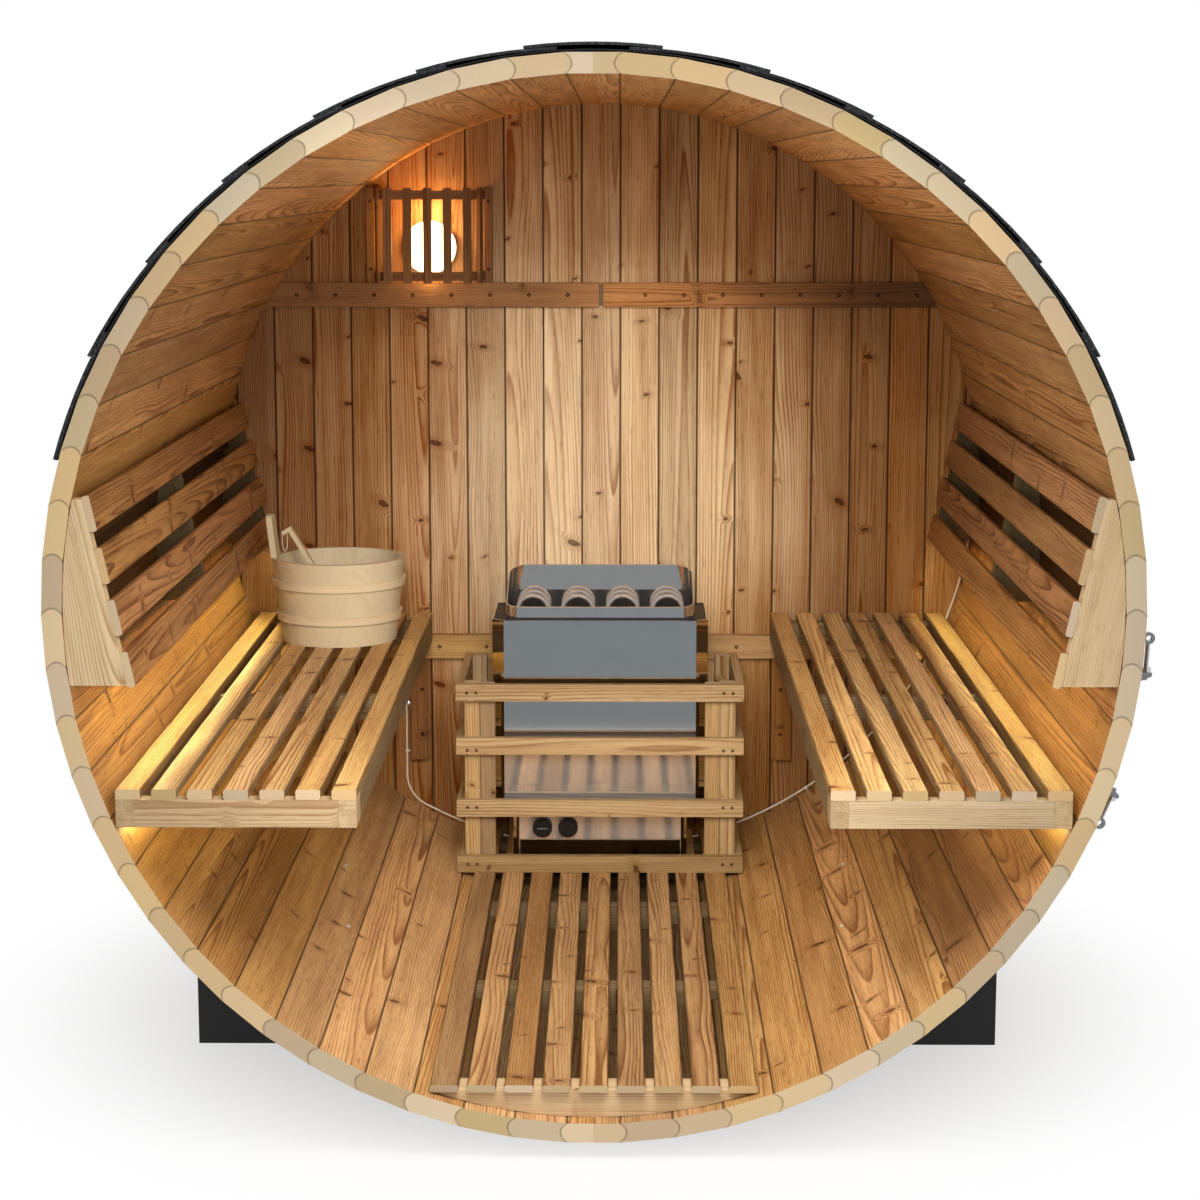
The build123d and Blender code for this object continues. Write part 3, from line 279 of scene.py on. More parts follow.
def backrest_slat_lie(g):
    side, y, down, away = backrest_slope(g)
    number, local = g.snap(down, backrest_first, backrest_pitch)
    return local, away, y, g.join(number, side, 17.0), None


def rib_lie(g):
    side, y, down, away = backrest_slope(g)
    number, local = g.snap(y, *row("right_backrest_ribs", 1, backrest_rib, 3))
    return away, local, down, g.join(number, side, 19.0), None


def rail_lie(g):
    x, y, z = g.point()
    lower = middle("lower_wall_rail").z
    number, local = g.snap(z, lower, middle("upper_wall_rails").z - lower)
    return local, g.minus(y, wall_face), x, g.join(number, g.math("SIGN", x), 23.0), None


def cleat_lie(g):
    x, y, z = g.point()
    layer = g.math("GREATER_THAN", y, middle("bench_cleats").y)
    across = g.minus(g.size(x), cleat_reach)
    return across, g.minus(y, wall_face), z, g.join(layer, g.math("SIGN", x), 29.0), None


def joist_lie(g):
    x, y, z = g.point()
    number, local = g.snap(y, *row("floor_joists", 1, joist, 4))
    return local, g.minus(z, middle("floor_joists").z), x, g.join(number, 1.0, 31.0), None


def floor_slat_lie(g):
    x, y, z = g.point()
    number, local = g.snap(x, *row("floor_slats", 0, floor_slat, 9))
    return local, g.minus(z, middle("floor_slats").z), y, g.join(number, 2.0, 37.0), None


def front_rail_lie(g):
    x, y, z = g.point()
    number, local = g.snap(z, *row("guard_front_rails", 2, guard_rail, 4))
    return local, g.minus(y, middle("guard_front_rails").y), x, g.join(number, 3.0, 41.0), None


def side_rail_lie(g):
    x, y, z = g.point()
    number, local = g.snap(z, *row("guard_side_rails", 2, guard_rail, 4))
    depth = g.minus(g.size(x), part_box("guard_side_rails")[1].x)
    return local, depth, y, g.join(number, g.math("SIGN", x), 43.0), None


def post_lie(g):
    x, y, z = g.point()
    low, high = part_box("guard_posts")
    number, local = g.snap(g.size(x), high.x - guard_post / 2, guard_post)
    rear = g.math("GREATER_THAN", y, middle("guard_posts").y)
    corner = g.add(rear, g.math("SIGN", x))
    return local, g.minus(y, low.y), z, g.join(number, corner, 47.0), None


def shade_slat_lie(g):
    x, y, z = g.point()
    number, local = g.snap(x, middle("lamp_shade_slats").x, shade_slat_pitch)
    return local, g.minus(y, wall_face), z, g.join(number, 4.0, 53.0), None


def shade_rail_lie(g):
    x, y, z = g.point()
    number, local = g.snap(z, *row("lamp_shade_rails", 2, shade_rail, 2))
    return local, g.minus(y, wall_face), x, g.join(number, 5.0, 59.0), None


def pail_round(g):
    """Angle about the pail's axis, distance from it, and height."""
    x, y, z = g.point()
    centre = middle("pail_hoops")
    left = g.minus(x, centre.x)
    back = g.minus(y, centre.y)
    radius = g.math("SQRT", g.add(g.times(left, left), g.times(back, back)))
    return g.math("ARCTAN2", left, back), radius, z


def pail_lie(g):
    angle, radius, z = pail_round(g)
    number, local = g.snap(angle, 0.0, 2 * pi / pail_staves)
    number = g.math("FLOORED_MODULO", number, float(pail_staves))
    return g.times(local, radius), radius, z, g.join(number, 6.0, 61.0), None


def hoop_lie(g):
    angle, radius, z = pail_round(g)
    number, local = g.snap(z, *row("pail_hoops", 2, pail_hoop, 2))
    return local, radius, g.times(angle, pail_radius), g.join(number, 7.0, 67.0), None


def ladle_lie(g):
    x, y, z = g.point()
    along = g.minus(g.times(z, cos(ladle_lean)), g.times(x, sin(ladle_lean)))
    depth = g.add(g.times(z, sin(ladle_lean)), g.times(x, cos(ladle_lean)))
    return g.minus(y, middle("pail_hoops").y), depth, along, g.join(1.0, 8.0, 71.0), None


along_x = (1.0, 0.0, 0.0)
along_y = (0.0, 1.0, 0.0)
along_z = (0.0, 0.0, 1.0)
knot_brown = (0.085, 0.030, 0.011)
knot_heart_brown = (0.170, 0.066, 0.025)
seam_brown = (0.040, 0.016, 0.007)
wood_roughness = 0.41
fibre_roughness = 0.22

# Knots, in metres: the field that each lies in, the least radius, what a thick one adds, and the ragged rim
knot_width = 0.085
knot_length = 0.19
knot_least = 0.0026
knot_growth = 0.0062
knot_rim = 0.0045

# Scales of the wood's noises, per metre across the grain and along it
sway_scale = (5.0, 2.1)
fibre_scale = (560.0, 11.0)
streak_scale = (50.0, 2.1)
patch_scale = (9.0, 3.0)
fleck_scale = (330.0, 26.0)
ragged_scale = 170.0
pore_scale = 700.0


def wood(
    name,
    lie,
    light,
    dark,
    end=None,
    grain=along_y,
    ring_gap=0.0036,
    wander=0.020,
    knot_share=0.55,
    knot_size=1.0,
    contrast=1.0,
    variation=1.0,
    end_grain=1.0,
    painted_light=None,
):
    """Softwood: year rings about each board's own pith, slanting knots, fibres and paler end grain."""
    g = Graph(name)
    across, depth, along, cell, edge = lie(g)
    chance_a, chance_b, chance_c = g.chance(cell)

    # Shifts that send each board to a place of its own in the noises
    far_a = g.times(chance_a, 37.0)
    far_b = g.times(chance_b, 53.0)

    def grain_noise(scale, shift, through, detail):
        """Noise that is stretched along the grain, shifted for each board."""
        wide, long = scale
        return g.noise(g.join(g.add(g.times(across, wide), shift), through, g.times(along, long)), detail)

    bend = grain_noise(sway_scale, far_a, g.add(g.times(depth, sway_scale[0]), far_b), 1.0)
    sway = g.times(g.minus(bend, 0.5), wander)

    # Knots at scattered places, each with its own size
    knot_u = g.add(g.math("DIVIDE", across, knot_width), far_a)
    knot_v = g.add(g.math("DIVIDE", along, knot_length), far_b)
    spots = g.cells(g.join(knot_u, knot_v, 0.0), "2D")
    spot_u, spot_v, _ = g.split(spots["Position"])
    pick, girth, _ = g.split(spots["Color"])
    knot_x = g.times(g.minus(knot_u, spot_u), knot_width)
    knot_y = g.times(g.minus(knot_v, spot_v), knot_length)
    knot_y = g.add(knot_y, g.times(knot_x, g.spread(girth, 0.0, 0.9)))
    knot_x = g.times(knot_x, g.spread(pick, 0.74, 0.7))
    ragged = g.noise(g.join(g.times(across, ragged_scale), far_b, g.times(along, ragged_scale)), 0.0)
    knot_far = g.math("SQRT", g.add(g.times(knot_x, knot_x), g.times(knot_y, knot_y)))
    knot_far = g.add(knot_far, g.times(g.minus(ragged, 0.5), knot_rim))
    present = g.math("LESS_THAN", pick, knot_share)
    knot_radius = g.times(g.add(g.times(g.times(girth, girth), knot_growth), knot_least), knot_size)
    knot_step = g.math("DIVIDE", knot_far, knot_radius)
    knot_mask = g.times(present, g.fit(knot_step, 0.70, 1.15, 1.0, 0.0))
    knot_heart = g.times(present, g.fit(knot_step, 0.2, 0.75, 1.0, 0.0))
    halo = g.times(present, g.fit(knot_step, 0.8, 3.8, 1.0, 0.0))

    # Year rings about a pith that lies aside of and below the board
    ring_x = g.add(g.minus(across, g.spread(chance_a, 0.0, 0.15)), sway)
    pith_depth = g.spread(chance_b, 0.045, 0.070)
    slope = g.spread(chance_c, 0.0, 0.040)
    ring_z = g.add(g.add(depth, pith_depth), g.add(g.times(along, slope), g.times(sway, 0.4)))
    far = g.math("SQRT", g.add(g.times(ring_x, ring_x), g.times(ring_z, ring_z)))
    far = g.add(far, g.times(halo, g.times(knot_radius, 0.9)))
    uneven = g.noise(g.join(g.times(far, 70.0), far_a, g.times(along, 0.8)), 0.0)
    phase = g.add(g.math("DIVIDE", far, ring_gap), g.times(uneven, 2.4))
    step = g.math("FRACT", phase)
    late = g.times(g.math("POWER", step, 3.0), g.fit(step, 0.90, 1.0, 1.0, 0.2))

    # Fibres, broad streaks and flecks along the grain
    fibre = grain_noise(fibre_scale, far_a, g.times(depth, fibre_scale[0]), 0.0)
    streak = grain_noise(streak_scale, far_b, g.times(depth, streak_scale[0]), 2.0)
    patch = grain_noise(patch_scale, far_b, far_a, 0.0)
    fleck = grain_noise(fleck_scale, far_b, far_a, 0.0)
    strength = g.fit(patch, 0.25, 0.75, 0.60 * contrast, 1.05 * contrast)
    tone = g.times(late, strength)
    tone = g.add(tone, g.times(g.minus(fibre, 0.5), 0.36 * contrast))
    tone = g.add(tone, g.times(g.minus(streak, 0.45), 0.95 * contrast))
    tone = g.add(tone, g.times(g.fit(fleck, 0.62, 0.74), 0.20 * contrast))
    tone = g.math("ADD", tone, 0.15, clamp=True)
    color = g.mix(tone, light, dark)
    color = g.mix(g.times(halo, 0.45), color, dark)
    heart = g.mix(knot_heart, knot_brown, knot_heart_brown)
    color = g.mix(g.times(knot_mask, 0.90), color, heart)
    color = g.tint(
        color,
        g.spread(chance_c, 0.501, 0.008 * variation),
        g.spread(chance_a, 1.0, 0.12 * variation),
        g.spread(chance_b, 1.0, 0.38 * variation),
    )
    # Painted light and painted shade from the hook, for the kinds of board that have one
    if painted_light:
        color = painted_light(g, color)
    seam_strength = 0.85
    if end:
        is_end = g.fit(g.size(g.facing(grain)), 0.85, 0.95)
        pores = g.noise(g.join(g.times(across, pore_scale), g.times(depth, pore_scale), far_a), 0.0)
        end_dark = tuple(part * share for part, share in zip(end, (0.74, 0.64, 0.50)))
        end_tone = g.add(g.times(late, 0.42 * end_grain), g.times(g.minus(pores, 0.5), 0.5))
        end_color = g.mix(g.math("ADD", end_tone, 0.0, clamp=True), end, end_dark)
        end_color = g.tint(
            end_color,
            g.spread(chance_b, 0.5, 0.016),
            g.spread(chance_c, 1.0, 0.42),
            g.spread(chance_a, 0.97, 0.34),
        )
        color = g.mix(is_end, color, end_color)
        seam_strength = g.fit(is_end, 0.0, 1.0, 0.85, 0.30)
    if edge:
        color = g.mix(g.fit(edge, 0.0008, 0.0030, seam_strength, 0.0), color, seam_brown)
    g.put(g.shader.inputs["Base Color"], color)
    g.put(g.shader.inputs["Roughness"], g.add(g.times(fibre, fibre_roughness), wood_roughness))
    g.shader.inputs["Specular IOR Level"].default_value = 0.30
    return g.material


def wall_painted_light(g, color):
    """Inside, the back wall has a painted pool of light round its middle, and painted shade in ragged tongues
    towards its edge and on the strip behind the upper rails.
    """
    x, y, z = g.point()
    pale_drop = 0.06
    rise = g.minus(z, axis_rise - pale_drop)
    rise = g.times(rise, g.fit(rise, 0.0, 0.8, 0.90, 0.56))
    distance = g.math("SQRT", g.add(g.times(x, x), g.times(rise, rise)))
    ragged = g.noise(g.join(g.times(x, 11.0), 4.0, g.times(z, 2.6)), detail=2.0)
    distance = g.add(distance, g.times(g.minus(ragged, 0.5), 0.46))
    inside = g.math("LESS_THAN", y, wall_face + 0.010)
    outside_tone = 0.42
    distance = g.add(g.times(inside, g.minus(distance, outside_tone)), outside_tone)
    # Painted shadow on the wall behind the upper rails
    low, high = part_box("upper_wall_rails")
    rail_shadow = g.times(g.fit(z, low.z, low.z + 0.003), g.fit(z, high.z - 0.003, high.z, 1.0, 0.0))
    rail_shadow = g.times(rail_shadow, inside)
    # Distances over which the painted pool of light turns into painted shade
    pool_to_shade = (0.20, 0.64)
    return g.tint(
        color,
        g.fit(distance, *pool_to_shade, 0.503, 0.482),
        g.fit(distance, *pool_to_shade, 0.82, 1.16),
        g.times(g.fit(distance, *pool_to_shade, 1.08, 0.50), g.fit(rail_shadow, 0.0, 1.0, 1.0, 0.45)),
    )


def rail_painted_light(g, color):
    """The upper rails have a painted pool of light right of their joint, and painted shade towards the right
    end.
    """
    x, _, _ = g.point()
    palest = 0.11
    # Painted pool of light, then painted shade towards the right end
    pale = g.fit(g.size(g.minus(x, palest)), 0.06, 0.28, 1.75, 1.0)
    return g.tint(color, 0.5, 1.0, g.times(pale, g.fit(x, 0.28, 0.68, 1.0, 0.38)))


def stave_painted_light(g, color):
    """Staves have painted light high under the ridge, and painted shade where a backrest or the duckboard
    hides them.
    """
    x, y, z = g.point()
    rise = g.minus(z, axis_rise)
    radius = g.math("SQRT", g.add(g.times(x, x), g.times(rise, rise)))
    low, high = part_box("right_backrest_slats")
    inside = g.fit(radius, stave_inside + 0.002, stave_inside + 0.010, 1.0, 0.0)
    inside = g.times(inside, g.math("LESS_THAN", y, wall_face))
    # Painted shadow on the staves behind the backrests
    backrest_shadow = g.times(g.fit(z, low.z - 0.03, low.z + 0.01), g.fit(z, high.z - 0.03, high.z, 1.0, 0.0))
    backrest_shadow = g.times(backrest_shadow, g.fit(y, low.y + 0.01, low.y + 0.06))
    low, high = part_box("floor_slats")
    # Painted shadow on the staves under the duckboard
    duckboard_shadow = g.times(g.fit(g.size(x), high.x - 0.03, high.x, 1.0, 0.0), g.fit(y, low.y + 0.01, low.y + 0.06))
    duckboard_shadow = g.times(duckboard_shadow, g.math("LESS_THAN", z, low.z))
    painted_shade_share = g.times(g.math("MAXIMUM", backrest_shadow, g.times(duckboard_shadow, 0.7)), inside)
    # Painted shade where hidden, and painted light high under the ridge
    value = g.times(g.fit(painted_shade_share, 0.0, 1.0, 1.0, 0.20), g.fit(z, 1.45, 1.75, 1.0, 1.50))
    return g.tint(color, 0.5, 1.0, value)


def painted_side_shade(g, color):
    """Painted shade on the sides of a slat, which face the gaps between the slats."""
    return g.tint(color, 0.497, 1.0, g.fit(g.size(g.facing(along_x)), 0.4, 0.8, 1.0, 0.42))


def painted_inner_shade(node, depth, value):
    """Painted shade for boards, which keep their own colour only near the open front."""
    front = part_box(node)[0].y

    def inner_shade(g, color):
        _, y, _ = g.point()
        # Painted shade from a little way in from the open front
        share = g.fit(y, front + depth, front + depth + 0.04)
        return g.tint(color, 0.497, g.fit(share, 0.0, 1.0, 1.0, 1.1), g.fit(share, 0.0, 1.0, 1.0, value))

    return inner_shade


pale_end = (0.56, 0.415, 0.255)
stave_end = (0.62, 0.475, 0.295)
stave_style = {"end_grain": 0.25, "contrast": 1.3, "painted_light": stave_painted_light}
stave_wood = wood(
    "stave_wood", stave_lie, (0.57, 0.305, 0.112), (0.225, 0.083, 0.024), stave_end, **stave_style
)
floor_stave_wood = wood(
    "floor_stave_wood", stave_lie, (0.72, 0.435, 0.190), (0.29, 0.120, 0.038), stave_end, **stave_style
)
slat_wood = wood(
    "bench_slat_wood", bench_slat_lie, (0.84, 0.56, 0.24), (0.32, 0.138, 0.044), pale_end, contrast=1.25,
    painted_light=painted_side_shade,
)
frame_wood = wood(
    "bench_frame_wood", bench_frame_lie, (0.59, 0.445, 0.265), (0.31, 0.182, 0.085), contrast=1.1,
    painted_light=painted_inner_shade("right_bench_frame", 0.04, 0.42),
)
backrest_wood = wood(
    "backrest_wood", backrest_slat_lie, (0.42, 0.205, 0.074), (0.130, 0.046, 0.014), pale_end, contrast=1.3
)
rib_wood = wood(
    "rib_wood", rib_lie, (0.72, 0.56, 0.345), (0.38, 0.235, 0.105), wander=0.110, knot_share=0.6,
    variation=0.4, knot_size=1.7, contrast=0.95, painted_light=painted_inner_shade("right_backrest_ribs", 0.04, 0.16),
)
guard_light = (0.52, 0.360, 0.187)
guard_dark = (0.22, 0.105, 0.039)
shade_light = (0.30, 0.140, 0.052)
shade_dark = (0.120, 0.045, 0.015)
shade_slat_wood = wood("shade_slat_wood", shade_slat_lie, shade_light, shade_dark, knot_size=0.6)
pail_light = (0.66, 0.56, 0.385)
pail_dark = (0.58, 0.415, 0.225)
pail_style = {"ring_gap": 0.0045, "wander": 0.008, "knot_share": 0.0, "contrast": 0.42, "variation": 0.25}
node_looks = {
    "floor_staves": floor_stave_wood,
    "left_wall_staves": stave_wood,
    "right_wall_staves": stave_wood,
    "roof_staves": stave_wood,
    "back_wall": wood(
        "wall_wood", wall_lie, (0.74, 0.500, 0.245), (0.36, 0.155, 0.047), ring_gap=0.0042, wander=0.030,
        knot_share=0.5, contrast=1.3, variation=0.8, painted_light=wall_painted_light,
    ),
    "upper_wall_rails": wood(
        "upper_rail_wood", rail_lie, (0.34, 0.155, 0.055), (0.130, 0.044, 0.013), contrast=1.2,
        painted_light=rail_painted_light,
    ),
    "lower_wall_rail": wood(
        "lower_rail_wood", rail_lie, (0.64, 0.400, 0.175), (0.31, 0.138, 0.046), pale_end, along_x
    ),
    "bench_cleats": wood("cleat_wood", cleat_lie, (0.36, 0.170, 0.062), (0.155, 0.054, 0.016)),
    "floor_joists": wood(
        "joist_wood", joist_lie, (0.84, 0.63, 0.375), (0.50, 0.29, 0.13), pale_end, along_x,
        painted_light=painted_inner_shade("floor_joists", 0.045, 0.30),
    ),
    "floor_slats": wood(
        "floor_slat_wood", floor_slat_lie, (0.56, 0.345, 0.152), (0.21, 0.088, 0.029), pale_end,
        contrast=1.2, painted_light=painted_side_shade,
    ),
    "guard_front_rails": wood(
        "guard_rail_wood", front_rail_lie, guard_light, guard_dark, pale_end, along_x
    ),
    "guard_side_rails": wood("guard_side_wood", side_rail_lie, guard_light, guard_dark),
    "guard_posts": wood("guard_post_wood", post_lie, guard_light, guard_dark, pale_end, along_z),
    "lamp_shade_slats": shade_slat_wood,
    "lamp_shade_battens": shade_slat_wood,
    "lamp_shade_rails": wood("shade_rail_wood", shade_rail_lie, shade_light, shade_dark, knot_size=0.6),
    "pail": wood("pail_wood", pail_lie, pail_light, pail_dark, **pail_style),
    "pail_hoops": wood("hoop_wood", hoop_lie, (0.76, 0.62, 0.42), pail_dark, **pail_style),
    "ladle": wood("ladle_wood", ladle_lie, pail_light, pail_dark, **pail_style),
}
for side in ("left", "right"):
    node_looks[f"{side}_bench_slats"] = slat_wood
    node_looks[f"{side}_bench_frame"] = frame_wood
    node_looks[f"{side}_backrest_slats"] = backrest_wood
    node_looks[f"{side}_backrest_ribs"] = rib_wood


# Metals, plastics and roof
def metal(name, color, roughness, fleck, bare=1.0, haze=0.0, haze_top=1.0):
    """Metal with faint mottling in its colour, smears in its gloss and, low on its front, a haze."""
    g = Graph(name)
    mottle = g.noise(g.scaled(30.0), detail=3.0)
    smear = g.noise(g.scaled(9.0))
    dull = tuple(part * 0.84 for part in color)
    g.put(g.shader.inputs["Base Color"], g.mix(g.times(mottle, 0.7), color, dull))
    if haze:
        _, _, z = g.point()
        front = g.fit(g.facing(along_y), -0.99, -0.95, 1.0, 0.0)
        hazed = g.times(front, g.fit(z, haze_top - 0.02, haze_top + 0.02, haze, 0.0))
        g.put(g.shader.inputs["Metallic"], g.minus(bare, hazed))
    else:
        g.shader.inputs["Metallic"].default_value = bare
    g.put(g.shader.inputs["Roughness"], g.add(g.times(g.add(mottle, smear), fleck / 2), roughness))
    return g.material


def dark_finish(name, color, roughness, grain_scale, bump_height):
    """Matt black paint or plastic with a fine texture."""
    g = Graph(name)
    fine = g.noise(g.scaled(grain_scale), detail=3.0)
    worn = g.noise(g.scaled(14.0), detail=3.0)
    paler = tuple(part * 2.2 + 0.004 for part in color)
    g.put(g.shader.inputs["Base Color"], g.mix(g.times(worn, 0.5), color, paler))
    g.put(g.shader.inputs["Roughness"], g.add(g.times(fine, 0.2), roughness))
    g.bump(fine, 0.3, bump_height)
    return g.material


def pale_finish(name, color, roughness):
    """White plastic, sheathing or cord with a slight yellowing."""
    g = Graph(name)
    fine = g.noise(g.scaled(60.0))
    aged = tuple(part * share for part, share in zip(color, (0.94, 0.90, 0.80)))
    g.put(g.shader.inputs["Base Color"], g.mix(fine, color, aged))
    g.put(g.shader.inputs["Roughness"], g.add(g.times(fine, 0.15), roughness))
    return g.material


def lamp_glow(name):
    """Lit opal glass, a little uneven."""
    g = Graph(name)
    fine = g.noise(g.scaled(40.0), detail=1.0)
    g.shader.inputs["Base Color"].default_value = (0.90, 0.85, 0.75, 1.0)
    g.put(g.shader.inputs["Emission Color"], g.mix(fine, (1.0, 0.70, 0.34), (1.0, 0.64, 0.27)))
    g.shader.inputs["Emission Strength"].default_value = 11.0
    g.shader.inputs["Roughness"].default_value = 0.35
    return g.material


def strip_glow(name):
    """Light strip that shines downwards, more on the left and from its narrow edge behind the backrest."""
    g = Graph(name)
    x, _, z = g.point()
    fine = g.noise(g.scaled(40.0), detail=1.0)
    down = g.fit(g.facing(along_z), -0.6, -0.3, 1.0, 0.0)
    bench_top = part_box("right_bench_slats")[1].z
    strength = g.add(g.times(g.math("GREATER_THAN", z, bench_top), 110.0), 20.0)
    g.shader.inputs["Base Color"].default_value = (0.90, 0.85, 0.75, 1.0)
    g.put(g.shader.inputs["Emission Color"], g.mix(fine, (1.0, 0.92, 0.45), (1.0, 0.88, 0.41)))
    sideways = g.fit(x, -0.2, 0.2, 1.45, 0.90)
    g.put(g.shader.inputs["Emission Strength"], g.times(g.times(down, strength), sideways))
    g.shader.inputs["Roughness"].default_value = 0.4
    return g.material


def shingle_finish(name):
    """Black mineral granules with paler grains among them."""
    g = Graph(name)
    grains = g.cells(g.scaled(420.0))
    pick, shade, _ = g.split(grains["Color"])
    broad = g.noise(g.scaled(5.0), detail=4.0)
    color = g.mix(g.math("POWER", pick, 3.0), (0.010, 0.011, 0.012), (0.085, 0.088, 0.092))
    color = g.mix(g.times(broad, 0.45), color, (0.022, 0.023, 0.026))
    g.put(g.shader.inputs["Base Color"], color)
    g.put(g.shader.inputs["Roughness"], g.add(g.times(shade, 0.2), 0.72))
    g.bump(grains["Distance"], 0.6, 0.0012)
    return g.material


mirror_steel = metal("mirror_steel", (0.80, 0.81, 0.82), 0.035, 0.03)
band_steel = metal("band_steel", (0.72, 0.73, 0.75), 0.28, 0.2)
screw_steel = metal("screw_steel", (0.035, 0.028, 0.022), 0.42, 0.1)
bright_steel = metal("bright_steel", (0.78, 0.86, 0.93), 0.25, 0.1, 0.45)
black_paint = dark_finish("black_paint", (0.010, 0.010, 0.011), 0.42, 900.0, 0.0002)
cradle_paint = dark_finish("cradle_paint", (0.007, 0.007, 0.008), 0.55, 300.0, 0.0004)
knob_plastic = dark_finish("knob_plastic", (0.008, 0.008, 0.009), 0.38, 1200.0, 0.0001)
shingle = shingle_finish("shingle_granules")
white_plastic = pale_finish("white_plastic", (0.88, 0.87, 0.84), 0.5)
mark_grey = pale_finish("mark_grey", (0.15, 0.15, 0.155), 0.5)
cord_white = pale_finish("cord_white", (0.80, 0.77, 0.70), 0.8)
node_looks.update(
    heater_casing=metal("casing_steel", (0.82, 0.82, 0.82), 0.035, 0.03, haze=0.17, haze_top=0.42),
    heater_control_box=metal("panel_steel", (0.88, 0.85, 0.83), 0.06, 0.05, haze=0.20),
    heater_plinth=mirror_steel,
    stone_tray=metal("tray_steel", (0.86, 0.86, 0.87), 0.09, 0.05, 0.97),
    heater_top_plate=black_paint,
    heating_elements=metal("element_steel", (0.90, 0.86, 0.83), 0.16, 0.1, 0.74),
    timer_knob=knob_plastic,
    thermostat_knob=knob_plastic,
    lamp_base=white_plastic,
    lamp_globe=lamp_glow("lamp_opal"),
    light_strips=strip_glow("strip_light"),
    strip_cable=white_plastic,
    ladle_loop=cord_white,
    roof_underlay=dark_finish("roof_felt", (0.012, 0.012, 0.013), 0.8, 500.0, 0.0006),
    left_shingles=shingle,
    right_shingles=shingle,
    ridge_cap=shingle,
    front_cradle=cradle_paint,
    rear_cradle=cradle_paint,
    steel_bands=band_steel,
    tension_straps=band_steel,
    eye_bolts=band_steel,
    band_nuts=band_steel,
)
for name, material in node_looks.items():
    mesh = nodes[name].data
    mesh.materials.clear()
    mesh.materials.append(material)


# Small fittings
def fitting(name, mesh, material, body="sauna"):
    """Hands a finished bmesh over as a piece of a body."""
    data = bpy.data.meshes.new(name)
    mesh.to_mesh(data)
    mesh.free()
    piece = bpy.data.objects.new(name, data)
    scene.collection.objects.link(piece)
    data.materials.append(material)
    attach(piece, body)
    return piece


def add_rings(mesh, spot, rings, corners):
    """Adds a closed lathe of rings, each a radius and a height, at a spot."""
    loops = []
    turns = [2 * pi * corner / corners for corner in range(corners)]
    for radius, height in rings:
        points = [Vector((radius * cos(turn), radius * sin(turn), height)) for turn in turns]
        loops.append([mesh.verts.new(spot @ point) for point in points])
    for lower, upper in zip(loops, loops[1:]):
        for corner in range(corners):
            after = (corner + 1) % corners
            mesh.faces.new((lower[corner], lower[after], upper[after], upper[corner]))
    mesh.faces.new(loops[-1])
    mesh.faces.new(list(reversed(loops[0])))


# Profiles of screw heads: shares of the head's radius, and heights
sunk_drive = ((1.0, -0.0008), (1.0, 0.0002), (0.82, 0.0007), (0.42, 0.0007), (0.38, -0.0006))
round_head = ((1.0, -0.0008), (1.0, 0.0014), (0.80, 0.0028), (0.42, 0.0037))
head_corners = 12


def screw_heads(name, places, radius=0.0044, profile=sunk_drive, material=screw_steel, ways=None):
    """One piece of many screw heads, which face the open front or each its own way."""
    mesh = bmesh.new()
    rings = [(radius * share, height) for share, height in profile]
    for place, way in zip(places, ways or [(0, -1, 0)] * len(places)):
        turn = Vector(way).to_track_quat("Z", "Y").to_matrix().to_4x4()
        add_rings(mesh, Matrix.Translation(Vector(place)) @ turn, rings, head_corners)
    return fitting(name, mesh, material)


rail_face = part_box("upper_wall_rails")[0].y
upper_rail = middle("upper_wall_rails").z
lower_rail = middle("lower_wall_rail").z
screw_shift = 0.012
screw_heads(
    "upper_rail_screws",
    [(wall_board * number + screw_shift, rail_face, upper_rail) for number in range(-8, 9) if number],
)
screw_heads("lower_rail_screws", [(x, rail_face, lower_rail) for x in (-0.375, -0.266, 0.314)])
cleat_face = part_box("bench_cleats")[0].y
cleat_screw_reach = 0.417
cleat_screw_rises = (0.4565, 0.3500)
screw_heads(
    "cleat_screws",
    [(side * cleat_screw_reach, cleat_face, rise) for side in (-1, 1) for rise in cleat_screw_rises],
)
batten_low, batten_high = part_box("lamp_shade_battens")
batten_half = 0.0085
batten_inset = 0.030
screw_heads(
    "batten_screws",
    [
        (x, batten_low.y, z)
        for x in (batten_low.x + batten_half, batten_high.x - batten_half)
        for z in (batten_low.z + batten_inset, batten_high.z - batten_inset)
    ],
    0.0036,
)
guard_low, guard_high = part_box("guard_front_rails")
guard_first, guard_pitch = row("guard_front_rails", 2, guard_rail, 4)
screw_heads(
    "guard_screws",
    [
        (side * (guard_high.x - inset), guard_low.y, guard_first + guard_pitch * number)
        for side in (-1, 1)
        for inset in (0.024, 0.044)
        for number in range(4)
    ],
    0.0034,
)

# Bright screws in the floor staves' flat insides, by angle from the bottom and place along
stave_screw_places = []
stave_screw_ways = []
for degrees_from_bottom, along in ((-36.8, 0.069), (-33.6, -0.272), (35.8, 0.119), (33.1, -0.249)):
    turn = radians(degrees_from_bottom)
    face_turn = round(turn / stave_angle) * stave_angle
    reach = stave_inside / cos(turn - face_turn)
    stave_screw_places.append((reach * sin(turn), along, axis_rise - reach * cos(turn)))
    stave_screw_ways.append((-sin(face_turn), 0, cos(face_turn)))
screw_heads("stave_screws", stave_screw_places, 0.0036, round_head, bright_steel, stave_screw_ways)


